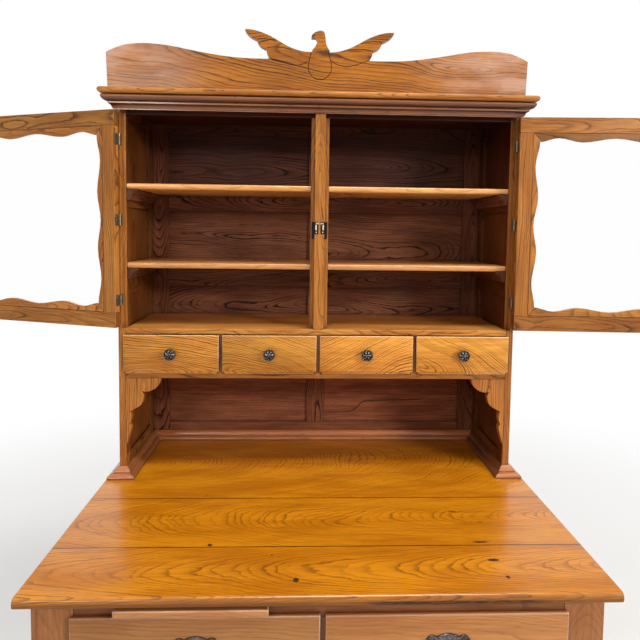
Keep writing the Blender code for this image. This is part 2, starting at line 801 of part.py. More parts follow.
def door_rectangle(inset_up, inset_across):
    """Lower and upper corners, across and up, of the door leaf set in by two distances."""
    start = DOOR_EDGE + inset_up
    end = DOOR_EDGE + DOOR_WIDTH - inset_up
    return (start, up(DOOR_RISES[0]) + inset_across), (end, up(DOOR_RISES[1]) - inset_across)


def door_layer(inset_up, inset_across, near, far, ease=0.0):
    """A box of the door, set in from its edges, between two distances from the pin's plane."""
    (start, foot), (end, top) = door_rectangle(inset_up, inset_across)
    return block((start, near, foot), (end, far, top), ease)


def door_frame():
    """Stiles and rails round a rebated opening."""
    inner_face = DOOR_FACE + BOARD
    rebate_floor = inner_face - FILLET_THICK - GLASS_THICK - 2 * SEAT
    leaf = door_layer(0, 0, DOOR_FACE, inner_face, EASE)
    opening = door_layer(DOOR_STILE + GLASS_LIP, DOOR_RAIL + GLASS_LIP, DOOR_FACE - PAST, inner_face + PAST)
    rebate = door_layer(DOOR_STILE, DOOR_RAIL, rebate_floor, inner_face + PAST)
    return cut(leaf, opening, rebate)


def waves(wide, narrow, shares):
    """Shares along a fillet with its width there, wide at even shares and narrow at odd ones."""
    found = []
    for index, (start, end) in enumerate(zip(shares, shares[1:])):
        one, two = (wide, narrow) if index % 2 == 0 else (narrow, wide)
        for step in range(FILLET_STEPS):
            t = step / FILLET_STEPS
            swing = (1 - math.cos(math.pi * t)) / 2
            found.append((start + (end - start) * t, one + (two - one) * swing))
    return found


def fillet_outline():
    """The serpentine inner edge of the four fillets, once round."""
    (start, foot), (end, top) = door_rectangle(DOOR_STILE, DOOR_RAIL)
    left, right = start + FILLET_WIDE_UP, end - FILLET_WIDE_UP
    low, high = foot + FILLET_WIDE_ACROSS, top - FILLET_WIDE_ACROSS
    across = waves(FILLET_WIDE_ACROSS, FILLET_NARROW_ACROSS, FILLET_ACROSS_SHARES)
    upright = waves(FILLET_WIDE_UP, FILLET_NARROW_UP, FILLET_UP_SHARES)
    bottom = [(left + (right - left) * share, foot + width) for share, width in across]
    far = [(end - width, low + (high - low) * share) for share, width in upright]
    head = [(right + (left - right) * share, top - width) for share, width in across]
    near = [(start + width, high + (low - high) * share) for share, width in upright]
    return bottom + far + head + near


def door_fillet():
    """The ring of serpentine fillets that holds the pane in its rebate."""
    inner_face = DOOR_FACE + BOARD
    near = inner_face - FILLET_THICK
    ring = door_layer(DOOR_STILE + SEAT, DOOR_RAIL + SEAT, near, inner_face)
    return cut(ring, bar(fillet_outline(), "Y", near - PAST, inner_face + PAST))


def door_glass():
    far = DOOR_FACE + BOARD - FILLET_THICK - SEAT
    return door_layer(DOOR_STILE + SEAT, DOOR_RAIL + SEAT, far - GLASS_THICK, far)


def build_doors(root, finish):
    for side, word, angle in ((-1, "left", LEFT_OPEN), (1, "right", RIGHT_OPEN)):
        pin = pivot(f"door_{word}_pin", (side * PIN_X, PIN_Y, 0), root, side * angle)
        piece(f"door_{word}_frame", sided(door_frame(), -side), finish["oak"], pin)
        piece(f"door_{word}_fillet", sided(door_fillet(), -side), finish["oak"], pin)
        piece(f"door_{word}_glass", sided(door_glass(), -side), finish["glass"], pin)


# Drawers


def drawer(front, foot_gap, lip, box, side, bottom):
    """A lipped front on an open box. X = 0 is its middle, Y = 0 its opening's plane and Z = 0 the box's foot."""
    width, height = front
    box_width, depth, box_height = box
    low = (-width / 2, -lip, foot_gap)
    face = block(low, (width / 2, -SEAT, foot_gap + height), FRONT_EASE, 2)
    half = box_width / 2
    tub = block((-half, -lip / 2, 0), (half, depth, box_height), EASE)
    inside = block((side - half, INNER_FRONT, bottom), (half - side, depth - side, box_height + PAST))
    return cut(joined(face, tub), inside)


def knob():
    return turned(KNOB_PROFILE, KNOB_SIDES, (0, -SMALL_LIP - SEAT, 0))


def build_small_drawers(root, finish):
    foot = up(FLOOR_RISE + SEAT)
    foot_gap = SMALL_FRONT_FOOT - SEAT
    for index in range(4):
        middle = (index - 1.5) * SMALL_PITCH
        slide = pivot(f"small_drawer_{index + 1}_slide", (middle, 0, foot), root)
        body = drawer(SMALL_FRONT, foot_gap, SMALL_LIP, SMALL_BOX, SMALL_SIDE, SMALL_BOTTOM)
        piece(f"small_drawer_{index + 1}", body, finish["oak_front"], slide)
        made = piece(f"small_knob_{index + 1}", knob(), finish["pewter"], slide)
        made.location.z = foot_gap + SMALL_FRONT[1] / 2


def pull_plate():
    """The pressed plate with the two pierced posts that hold the bail."""
    right = list(PULL_PLATE)
    left = [(-across, height) for across, height in reversed(PULL_PLATE[1:-1])]
    plate = bar(right + left, "Y", -PULL_THICK, 0)
    posts, bores = [], []
    for side in (-1, 1):
        middle = (side * PULL_POST_X, 0, -PULL_PIVOT_DROP)
        out = PULL_PIVOT_OUT + PULL_POST
        posts.append(turned(((PULL_THICK / 2, PULL_POST), (out, PULL_POST)), BARREL_SIDES, middle))
        pin = (side * PULL_POST_X, -PULL_PIVOT_OUT, -PULL_PIVOT_DROP)
        reach = PULL_POST + SEAT
        bores.append(turned(((-reach, PULL_BORE), (reach, PULL_BORE)), BORE_SIDES, pin, "X", 1))
    return cut(joined(plate, *posts), *bores)


def bend(middle, radius, start, end):
    """Points of a bend round the middle, from one angle to another."""
    angles = [start + (end - start) * step / BEND_STEPS for step in range(BEND_STEPS + 1)]
    return [(middle[0] + radius * math.cos(a), middle[1] + radius * math.sin(a)) for a in angles]


def pull_bail():
    """The swinging handle: a bent rod whose two ends turn in the posts. The origin is on its axis."""
    quarter = math.pi / 2
    right = [(PULL_POST_X - PULL_POST / 2, 0)]
    right += bend((BAIL_HALF - BAIL_TOP_BEND, -BAIL_TOP_BEND), BAIL_TOP_BEND, quarter, 0)
    right += bend((BAIL_HALF - BAIL_LOW_BEND, BAIL_LOW_BEND - BAIL_DROP), BAIL_LOW_BEND, 0, -quarter)
    line = [Vector(point) for point in right] + [Vector((-across, drop)) for across, drop in reversed(right)]
    rings = []
    for index, middle in enumerate(line):
        way = (line[min(index + 1, len(line) - 1)] - line[max(index - 1, 0)]).normalized()
        ring = []
        for side in range(ROD_SIDES):
            angle = math.tau * side / ROD_SIDES
            out = BAIL_ROD * math.cos(angle)
            ring.append((middle.x - way.y * out, BAIL_ROD * math.sin(angle), middle.y + way.x * out))
        rings.append(ring)
    return loft(rings)


def build_large_drawers(root, finish):
    foot = MIDDLE_RAIL[1] + SEAT
    for side, word in ((-1, "left"), (1, "right")):
        slide = pivot(f"drawer_{word}_slide", (side * LARGE_MIDDLE, CASE_FRONT, foot), root)
        body = drawer(LARGE_FRONT, LARGE_FOOT - foot, LARGE_LIP, LARGE_BOX, LARGE_SIDE, LARGE_BOTTOM)
        piece(f"drawer_{word}", body, finish["oak_front"], slide)
        plate = piece(f"pull_plate_{word}", pull_plate(), finish["pewter"], slide)
        plate.location = (0, -LARGE_LIP - SEAT, PULL_HEIGHT - foot)
        axis = (0, -LARGE_LIP - SEAT - PULL_PIVOT_OUT, PULL_HEIGHT - foot - PULL_PIVOT_DROP)
        swing = pivot(f"pull_{word}_swing", axis, slide)
        piece(f"pull_bail_{word}", pull_bail(), finish["pewter"], swing)


# Lower case


def case_top():
    return WORKTOP_TOP - WORKTOP_THICK - SEAT


def worktop():
    """The thick top with its rounded nose."""
    low = (-WORKTOP_HALF, WORKTOP_FRONT, WORKTOP_TOP - WORKTOP_THICK)
    return block(low, (WORKTOP_HALF, REAR, WORKTOP_TOP), WORKTOP_NOSE, 4, lambda edge: at_front(edge, WORKTOP_FRONT))


def face_frame():
    """Legs, rails and muntin of the front, with the slot for the bread board."""
    rear = CASE_FRONT + FRAME_THICK
    board = block((-CASE_HALF, CASE_FRONT, 0), (CASE_HALF, rear, case_top()), EASE)
    near, far = CASE_FRONT - PAST, rear + PAST
    holes = [block((-STILE_INNER, near, -PAST), (STILE_INNER, far, MUNTIN_FOOT))]
    leg_inner = CASE_HALF - LEG_FRONT
    turn = leg_inner - STILE_INNER
    arch = bend((STILE_INNER, APRON_FOOT - turn), turn, 0, math.pi / 2)
    arch = [(leg_inner, -PAST), *arch, (STILE_INNER - PAST, APRON_FOOT), (STILE_INNER - PAST, -PAST)]
    for side in (-1, 1):
        holes.append(sided(bar(arch, "Y", near, far), side))
    for side in (-1, 1):
        start, end = sorted((side * MUNTIN_HALF, side * STILE_INNER))
        holes.append(block((start, near, MUNTIN_FOOT - PAST), (end, far, MIDDLE_RAIL[0])))
        holes.append(block((start, near, MIDDLE_RAIL[1]), (end, far, TOP_RAIL_FOOT)))
    half = BREAD_HALF + SLOT_PLAY
    slot_foot = bread_foot() - SLOT_PLAY
    holes.append(block((BREAD_MIDDLE - half, near, slot_foot), (BREAD_MIDDLE + half, far, case_top() + PAST)))
    return cut(board, *holes)


def case_side():
    """A framed side on two legs, with the ledge that carries one bin's batten."""
    inner = CASE_HALF - FRAME_THICK
    front = CASE_FRONT + FRAME_THICK + SEAT
    board = block((inner, front, 0), (CASE_HALF, REAR, case_top()), EASE)
    runner_start = LARGE_MIDDLE + BIN_HALF + RUNNER_PLAY
    runner_low = (runner_start, front + SEAT, RUNNER_HEIGHTS[0])
    runner = block(runner_low, (inner + FRAME_THICK / 2, BACK_FRONT - SEAT, RUNNER_HEIGHTS[1]))
    near, far = front + LEG_FRONT, REAR - LEG_REAR
    quarter = math.pi / 2
    arch = [(near, -PAST), *bend((near + APRON_BEND, APRON_FOOT - APRON_BEND), APRON_BEND, 2 * quarter, quarter)]
    arch += [*bend((far - APRON_BEND, APRON_FOOT - APRON_BEND), APRON_BEND, quarter, 0), (far, -PAST)]
    tools = [bar(arch, "X", inner - PAST, CASE_HALF + PAST)]
    middle = (near + far) / 2
    for start, end in ((near, middle - CASE_MUNTIN / 2), (middle + CASE_MUNTIN / 2, far)):
        low = (CASE_HALF - PANEL_SET_OUT, start, APRON_FOOT + CASE_RAIL)
        tools.append(block(low, (CASE_HALF + PAST, end, case_top() - CASE_RAIL)))
    return cut(joined(board, runner), *tools)


def case_back():
    """The framed back of the case, three panels across."""
    half = CASE_HALF - FRAME_THICK - SEAT
    board = block((-half, BACK_FRONT, APRON_FOOT), (half, REAR, case_top()))
    width = (2 * half - 4 * CASE_MUNTIN) / 3
    tools = []
    for index in range(3):
        start = -half + CASE_MUNTIN + index * (width + CASE_MUNTIN)
        low = (start, REAR - PANEL_SET_OUT, APRON_FOOT + CASE_RAIL)
        tools.append(block(low, (start + width, REAR + PAST, case_top() - CASE_RAIL)))
    return cut(board, *tools)


def case_partition():
    """The upright board between the bins with a ledge on each side."""
    front = CASE_FRONT + FRAME_THICK + SEAT
    rear = BACK_FRONT - SEAT
    top = MIDDLE_RAIL[1] - DUST_THICK - SEAT
    board = block((-PARTITION_HALF, front, MUNTIN_FOOT), (PARTITION_HALF, rear, top))
    half = LARGE_MIDDLE - BIN_HALF - RUNNER_PLAY
    low = (-half, front + SEAT, RUNNER_HEIGHTS[0])
    return joined(board, block(low, (half, rear - SEAT, RUNNER_HEIGHTS[1])))


def bread_foot():
    return WORKTOP_TOP - WORKTOP_THICK - BREAD_GAP - BREAD_THICK


def bread_tray():
    """The U-shaped tray under the worktop that guides and stops the bread board."""
    front = CASE_FRONT + FRAME_THICK + SEAT
    stop = BREAD_FRONT + BREAD_DEPTH + SEAT
    seat = bread_foot() - SEAT
    half = BREAD_HALF + TRAY_REACH
    low = (BREAD_MIDDLE - half, front, seat - TRAY_THICK)
    body = block(low, (BREAD_MIDDLE + half, stop + TRAY_STOP, case_top()))
    half = BREAD_HALF + SLOT_PLAY
    channel = block((BREAD_MIDDLE - half, front - PAST, seat), (BREAD_MIDDLE + half, stop, case_top() + PAST))
    half = BREAD_HALF - TRAY_LEDGE
    low = (BREAD_MIDDLE - half, front - PAST, seat - TRAY_THICK - PAST)
    gap = block(low, (BREAD_MIDDLE + half, stop - TRAY_BRIDGE, case_top() + PAST))
    return cut(body, channel, gap)


def belly(radius, foot):
    """The bin's bottom curve, from the front at the foot's height round to the rear."""
    start = math.asin((BELLY_HEIGHT - foot) / radius) - math.pi
    angles = [start - start * step / BELLY_STEPS for step in range(BELLY_STEPS + 1)]
    return [(BELLY_DEPTH + radius * math.cos(a), BELLY_HEIGHT + radius * math.sin(a)) for a in angles]


def flour_bin():
    """A lipped front with a turned knob on a round-bottomed box that hangs by its battens."""
    lip_low = (-LARGE_FRONT[0] / 2, -LARGE_LIP, BIN_FRONT[0])
    face = block(lip_low, (LARGE_FRONT[0] / 2, -SEAT, BIN_FRONT[1]), FRONT_EASE, 2)
    foot = BIN_FRONT[0] + LARGE_LIP / 2
    skin = belly(BELLY_RADIUS, foot)
    front = -LARGE_LIP / 2
    outline = [(front, BIN_TOP), (front, foot), *skin, (skin[-1][0], BIN_TOP)]
    tub = bar(outline, "X", -BIN_HALF, BIN_HALF)
    lining = belly(BELLY_RADIUS - BIN_WALL, foot + BIN_WALL)
    hollow = [(lining[0][0], BIN_TOP + PAST), *lining, (lining[-1][0], BIN_TOP + PAST)]
    inside = bar(hollow, "X", BIN_SIDE - BIN_HALF, BIN_HALF - BIN_SIDE)
    battens = []
    for side in (-1, 1):
        start, end = sorted((side * (BIN_HALF - BIN_SIDE / 2), side * (BIN_HALF + BIN_BATTEN)))
        low = (start, FRAME_THICK + 2 * SEAT, RUNNER_HEIGHTS[1] + SEAT)
        battens.append(block(low, (end, skin[-1][0] - BIN_WALL / 2, BIN_TOP - SEAT)))
    grip = turned(BIN_KNOB_PROFILE, KNOB_SIDES, (0, -LARGE_LIP, BIN_KNOB_HEIGHT))
    return cut(joined(face, tub, grip, *battens), inside)


def build_case(root, finish):
    for side, word in ((-1, "left"), (1, "right")):
        piece(f"case_side_{word}", sided(case_side(), side), finish["oak"], root)
        slide = pivot(f"bin_{word}_slide", (side * LARGE_MIDDLE, CASE_FRONT, 0), root)
        piece(f"bin_{word}", flour_bin(), finish["oak_front"], slide)
    piece("worktop", worktop(), finish["oak_top"], root)
    piece("face_frame", face_frame(), finish["oak"], root)
    piece("case_back", case_back(), finish["oak"], root)
    half = CASE_HALF - FRAME_THICK - SEAT
    low = (-half, CASE_FRONT + FRAME_THICK + SEAT, MIDDLE_RAIL[1] - DUST_THICK)
    dust_board = block(low, (half, BACK_FRONT - SEAT, MIDDLE_RAIL[1]))
    piece("dust_board", dust_board, finish["oak_inside"], root)
    piece("case_partition", case_partition(), finish["oak_inside"], root)
    piece("bread_tray", bread_tray(), finish["oak_inside"], root)
    slide = pivot("bread_board_slide", (BREAD_MIDDLE, BREAD_FRONT, bread_foot()), root)
    board = block((-BREAD_HALF, 0, 0), (BREAD_HALF, BREAD_DEPTH, BREAD_THICK), BREAD_EASE, 2)
    piece("bread_board", board, finish["oak_front"], slide)


def centre_footprint(root):
    """Moves the cabinet so that the middle of its footprint is over the origin."""
    bpy.context.view_layer.update()
    solids = [made for made in bpy.data.objects if made.type == "MESH"]
    points = [made.matrix_world @ vert.co for made in solids for vert in made.data.vertices]
    for axis in (0, 1):
        places = [point[axis] for point in points]
        root.location[axis] = -(min(places) + max(places)) / 2


def main():
    clear_scene()
    finish = make_finishes()
    root = pivot("cabinet", (0, 0, 0), None)
    build_hutch(root, finish)
    build_doors(root, finish)
    build_small_drawers(root, finish)
    build_case(root, finish)
    build_large_drawers(root, finish)
    centre_footprint(root)


main()
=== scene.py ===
"""Looks of the baker's cabinet: stained oak, its metal fittings, the light and the camera.

Metres, +Z up. Places are given in the hutch's frame, as in the solids: X = 0 is the hutch's middle, Y = 0 its
front, Z = 0 the worktop's top. Lengths measured from the floor go through from_floor.
"""

import json
import math
import random

import bmesh
import bpy
from mathutils import Matrix, Vector


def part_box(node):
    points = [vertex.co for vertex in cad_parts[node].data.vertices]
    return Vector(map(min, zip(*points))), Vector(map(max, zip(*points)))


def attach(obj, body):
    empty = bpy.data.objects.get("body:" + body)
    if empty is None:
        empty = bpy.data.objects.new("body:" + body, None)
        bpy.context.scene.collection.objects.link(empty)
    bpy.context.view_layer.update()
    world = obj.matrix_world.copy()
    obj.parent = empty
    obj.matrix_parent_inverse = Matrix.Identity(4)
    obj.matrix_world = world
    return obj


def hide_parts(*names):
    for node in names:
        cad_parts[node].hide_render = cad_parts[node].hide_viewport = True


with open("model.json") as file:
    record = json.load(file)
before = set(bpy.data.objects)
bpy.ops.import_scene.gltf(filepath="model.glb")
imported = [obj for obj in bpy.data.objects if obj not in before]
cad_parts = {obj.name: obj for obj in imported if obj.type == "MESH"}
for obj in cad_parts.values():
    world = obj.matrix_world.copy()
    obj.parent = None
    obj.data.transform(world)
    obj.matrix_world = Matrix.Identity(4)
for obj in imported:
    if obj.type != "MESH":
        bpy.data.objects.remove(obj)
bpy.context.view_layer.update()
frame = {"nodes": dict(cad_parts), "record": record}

# Where the hutch's frame is
WORKTOP_LOW, WORKTOP_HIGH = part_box("worktop")
MULLION_LOW, MULLION_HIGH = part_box("mullion")
ORIGIN = Vector(((MULLION_LOW.x + MULLION_HIGH.x) / 2, MULLION_LOW.y, WORKTOP_HIGH.z))
HUTCH = Matrix.Translation(ORIGIN)

# Sizes that the looks share with the solids
INNER_HALF = 0.530
OUTER_HALF = 0.549
BACK_FRONT = 0.277
REAR = 0.296
FRONT_STILE = 0.036
BACK_STILE = 0.0525
MUNTIN_HALF = 0.027
PANEL_ROWS = ((0.0574, 0.285), (0.405, 0.506), (0.560, 0.7486), (0.8026, 0.990))
FLOOR_RISE = 0.2903
PIN = (0.5395, -0.0045)
DOOR_EDGE = 0.001
DOOR_WIDTH = 0.5225
DOOR_THICK = 0.019
DOOR_RISES = (0.420, 1.0022)
DOOR_STILE = 0.0355
DOOR_RAIL = 0.0410
OPEN = {"left": -math.radians(198.9), "right": math.radians(176.4)}
SIDES = {"left": -1, "right": 1}
SMALL_DRAWERS = (1, 2, 3, 4)
WORKTOP_SEAMS = (-0.351, -0.133)
CASE_HALF = 0.5565
CASE_FRONT = -0.490
CASE_STILE_INNER = 0.4755
CASE_MULLION_HALF = 0.0108
CASE_FRONT_LEG = 0.0603
CASE_REAR_LEG = 0.062
RUNNER_GAP = 0.0005
CASE_BACK_GAP = 0.0003
BASE_BACK_DEPTH = 0.03
BASE_FRONT_HALF = 0.0096
DRAWER_FRONT = 0.022
DRAWER_SIDE = 0.030
DRAWER_BACK = 0.020
FRAME_THICK = 0.022
CASE_MUNTIN = 0.060
CASE_RAIL = 0.055
TOP_RAIL_FOOT = 0.707
MIDDLE_RAIL = (0.572, 0.600)
APRON_FOOT = 0.240
CASE_TOP = 0.7427
FILLET_RIM = 0.0014

# Seams between boards: their half widths, and how many half widths a face may have and still be a seam
SEAM_HALF = 0.0010
TOP_SEAM_HALF = 0.0021
SEAM_REACH = 2.2
WELD = 0.00002
CUT_WELD = 0.000005

# Largest angles in degrees that are shaded smooth
WOOD_SMOOTH = 32
FILLET_SMOOTH = 20
BIN_SMOOTH = 40
FITTING_SMOOTH = 35
CAST_SMOOTH = 50

# Painted shade, which darkens a face: inside the hutch's two sides, more on the right, on faces of mouldings
# that look down, and on the worktop's front edge; and the rises over which painted shade deepens towards the
# top
LEFT_SIDE_SHADE = 0.78
RIGHT_SIDE_SHADE = 1.0
DOWNWARD_SHADE = 1.1
EDGE_SHADE = 0.5
EDGE_FACING = 0.8
TOP_SHADE_RISES = (0.74, 0.99)
# Painted sheen on the crest's two ends: the middle it grows out from and the reach over which it grows
SHEEN_MIDDLE = -0.04
SHEEN_REACH = (0.22, 0.52)

# Carving on the crest, (across, up) from its middle and foot, and the split in the niche's panel
CREST_MIDDLE = -0.006
CREST_FRONT = -0.020
LEDGE_RISE = 1.059
GROOVE_HALF = 0.0013
BEAK_HALF = 0.0026
GROOVE_DEPTH = 0.0014
GROOVE_OVER = 0.001
FINE_END_SHARE = 0.3
EAGLE_LINES = (
    (
        GROOVE_HALF,
        (
            (-0.0212, 0.1046), (-0.0250, 0.0928), (-0.0283, 0.0797), (-0.0303, 0.0640), (-0.0272, 0.0498),
            (-0.0172, 0.0370), (-0.0038, 0.0313), (0.0108, 0.0332), (0.0235, 0.0418), (0.0306, 0.0550),
            (0.0317, 0.0681), (0.0283, 0.0836), (0.0241, 0.0965), (0.0224, 0.1069),
        ),
    ),
    (
        GROOVE_HALF,
        (
            (-0.1303, 0.0817), (-0.1025, 0.0754), (-0.0786, 0.0692), (-0.0600, 0.0678), (-0.0442, 0.0715),
            (-0.0305, 0.0797),
        ),
    ),
    (
        GROOVE_HALF,
        (
            (0.0300, 0.0835), (0.0396, 0.0745), (0.0544, 0.0696), (0.0757, 0.0675), (0.0944, 0.0708),
            (0.1130, 0.0778), (0.1316, 0.0855),
        ),
    ),
    (GROOVE_HALF, ((-0.1650, 0.1329), (-0.1505, 0.1343), (-0.1320, 0.1332), (-0.1135, 0.1290))),
    (GROOVE_HALF, ((-0.1398, 0.1118), (-0.1213, 0.1138), (-0.1002, 0.1128), (-0.0763, 0.1082))),
    (GROOVE_HALF, ((0.1668, 0.1322), (0.1494, 0.1344), (0.1307, 0.1329), (0.1095, 0.1272))),
    (GROOVE_HALF, ((0.1432, 0.1088), (0.1231, 0.1124), (0.0990, 0.1129), (0.0751, 0.1097))),
    (BEAK_HALF, ((-0.0229, 0.1421), (-0.0184, 0.1443), (-0.0124, 0.1467))),
)
NICHE_CRACK = ((0.030, 0.087), (0.119, 0.090), (0.158, 0.121), (0.185, 0.126), (0.252, 0.128), (0.353, 0.131))
PANEL_FACE = 0.284
CRACK_HALF = 0.0011

# Hinges
HINGE_RISES = {"top": 0.9260, "middle": 0.7110, "bottom": 0.4940}
HINGE_HALF = 0.015
HINGE_BARREL = 0.0032
BARREL_NECK = 0.0026
KNUCKLES = 5
KNUCKLE_EDGE = 0.0003
HINGE_LEAF = 0.0009
HINGE_LEAF_DEPTHS = (0.0034, 0.0203)
LEAF_CHAMFER = 0.0004
LEAF_SINK = 0.0003
LEAF_SCREW = 0.0029
LEAF_SCREW_SHARES = (0.58, 0.40, 0.56)
LEAF_SCREW_HEIGHTS = (0.0095, 0.0, -0.0098)
LEAF_SCREW_PROUD_SHARE = 0.8
BARREL_SIDES = 32
HINGE_SEED = 7

# Screw heads: (height, radius) levels as shares of the head's, the slot's half width, and its dark floor of
# grime and painted shade
SCREW_LEVEL_SHARES = ((0, 1), (0.5, 1), (0.85, 0.86), (1, 0.6))
SCREW_STEPS = 12
SLOT_SHARE = 0.16
SLOT_FLOOR_SHARE = 0.2
SLOT_FLOOR_REACH = 1.06
SLOT_FLOOR_SIDES = 24

# Catches
CATCH_FACE = -0.0012
CATCH_CUT_X = (0.001, 0.01425)
CATCH_CUT_Y = (-0.004, 0.0)
CATCH_CUT_RISES = (0.660, 0.6800)
CATCH_SCREW_X = 0.0088
CATCH_SCREW_RISES = (0.7093, 0.6845)
CATCH_SCREW = 0.0017
LEVER_HALF = 0.0019
LEVER_RISES = (0.6905, 0.7045)
LEVER_PROUD = 0.0011
LEVER_EDGE = 0.0004
CATCH_SCREW_TURN = 0.6
STRIKE_X = 0.0047
STRIKE_RISE = 0.7085
STRIKE_SIDES = 20

# Knobs and pulls
KNOB_BACK = (
    (0.52, 0.0), (0.478, 0.167), (0.43, 0.357), (0.552, 0.476), (0.89, 0.595), (1.0, 0.714), (0.99, 0.81),
    (0.95, 0.88), (0.91, 0.875),
)
KNOB_PETALS = 6
KNOB_PETAL_SIDES = 14
KNOB_STEPS = 14
KNOB_FACE_SHARE = 0.86
KNOB_DISH = (0.80, 0.06)
KNOB_PETAL_SHARES = (0.16, 0.66)
KNOB_BOSS = (0.15, 0.12)
KNOB_TWIST = 1.3
KNOB_WAVE = (0.27, 0.15)
PETAL_POWER = 0.7
PULL_RISE = 0.655 - ORIGIN.z
PULL_TOP = (
    (0.0, 0.0230), (0.0060, 0.0226), (0.0120, 0.0208), (0.0175, 0.0190), (0.0205, 0.0176),
    (0.0226, 0.0152), (0.0248, 0.0186), (0.0300, 0.0198), (0.0350, 0.0194), (0.0385, 0.0170),
    (0.0400, 0.0140), (0.0425, 0.0125), (0.0440, 0.0095),
)
PULL_FOOT = (
    (0.0, -0.0225), (0.0045, -0.0200), (0.0100, -0.0186), (0.0170, -0.0150), (0.0225, -0.0112),
    (0.0300, -0.0126), (0.0360, -0.0098), (0.0420, -0.0078), (0.0440, -0.0040),
)
PULL_GRID = (96, 26)
PULL_BORDER = 0.0014
PULL_BORDER_SOFT = 0.55
PULL_INSIDE_START = 1.6
PULL_FAN = 0.014
PULL_LEAVES = 6.5
PULL_RIB_SHARES = (0.7, 0.3)
PULL_RIBS = 1400
PULL_SCROLL_RIBS = 2240
PULL_SCROLL = (0.034, 0.010)
PULL_SCROLL_REACH = 0.0072
PULL_SHEET = 0.0009
PULL_RELIEF = 0.0020
PULL_POST_X = 0.030
PULL_PIVOT_DROP = 0.003
PULL_POST = (
    (0.0005, 0.0062), (0.0030, 0.0060), (0.0036, 0.0044), (0.0058, 0.0042), (0.0080, 0.0046),
    (0.0102, 0.0042), (0.0118, 0.0030), (0.0125, 0.0016),
)
BAIL_ROD = 0.0022
BAIL_END = 0.029
BAIL_TOP_BEND = 0.004
BAIL_LOW_BEND = 0.012
BAIL_SWELL = 0.0013
BAIL_BEAD_REACH = 0.011
BAIL_BEADS = 560
BAIL_BEND_SHARE = 0.3
BAIL_STEPS = 9
BAIL_SIDES = 14

# Marks on the worktop: middle across and back, half widths across and back
TABLE_MARKS = (
    (-0.053, -0.466, 0.0070, 0.0085),
    (-0.242, -0.343, 0.0060, 0.0060),
    (-0.105, -0.382, 0.0022, 0.0030),
    (-0.288, -0.115, 0.0022, 0.0030),
    (0.356, -0.339, 0.0200, 0.0040),
    (0.362, -0.406, 0.0150, 0.0060),
    (0.372, -0.463, 0.0055, 0.0055),
    (0.383, -0.255, 0.0080, 0.0025),
    (0.330, -0.205, 0.0120, 0.0025),
)
CHIPPED_EDGE = (0.055, 0.455)
CHIP_FADE = 0.06
CHIP_FRONT = WORKTOP_LOW.y - ORIGIN.y
CHIP_DEPTH = 0.014
CHIP_TOP = -0.0085
CHIP_FADE_DOWN = 0.004
MARK_RAGGED = (260.0, 0.9)
MARK_EDGE = (1.6, 1.0)
CHIP_SCALE = (45.0, 320.0)
CHIP_BITE = (0.36, 0.52)
CHIP_STAIN = (0.28, 0.62)

# Camera of the photograph, in the hutch's frame, and its picture
PICTURE = 640
FOCAL_PIXELS = 545.8137
CENTRE_PIXEL = (321.0, 266.9348)
CAMERA_PLACE = (-0.0483, -1.5021, 0.6844)
YAW, PITCH, ROLL = (math.radians(angle) for angle in (2.0430, 3.6093, -0.7310))
SENSOR = 36.0
CLIP_START = 0.05

# Light and floor. Lamps: place, aim, size, watts
WORLD_LIGHT = 0.25
WORLD_COLOUR = (1.0, 0.98, 0.96, 1.0)
LAMP_COLOUR = (1.0, 0.96, 0.91)
LAMPS = {
    "ceiling": ((0.5, -1.05, 4.6), (0, 0.1, 1.2), (2.2, 0.4), 112),
    "front_left": ((-1.6, -3.2, 2.5), (0, 0, 1.2), (0.9, 0.5), 20),
    "front_right": ((3.0, -2.8, 2.5), (0, 0, 1.2), (1.0, 0.5), 88),
    "behind": ((0, 3.2, 3.4), (0, 0.3, 1.0), (2.4, 1.0), 34),
}
FLOOR_HALF = 12.0
FLOOR_GAP = 0.0005
FLOOR_TINTS = ((0.84, 0.84, 0.83, 1.0), (0.88, 0.88, 0.87, 1.0))
FLOOR_TINT_SCALE = 3.0
FLOOR_ROUGH = 0.7
FLOOR_GLOSS = 0.1
FLOOR_FADE = (1.0, 3.6, 0.35, 1.0)


def from_floor(height):
    """The rise over the worktop of a height over the floor."""
    return height - ORIGIN.z


# Shader nodes


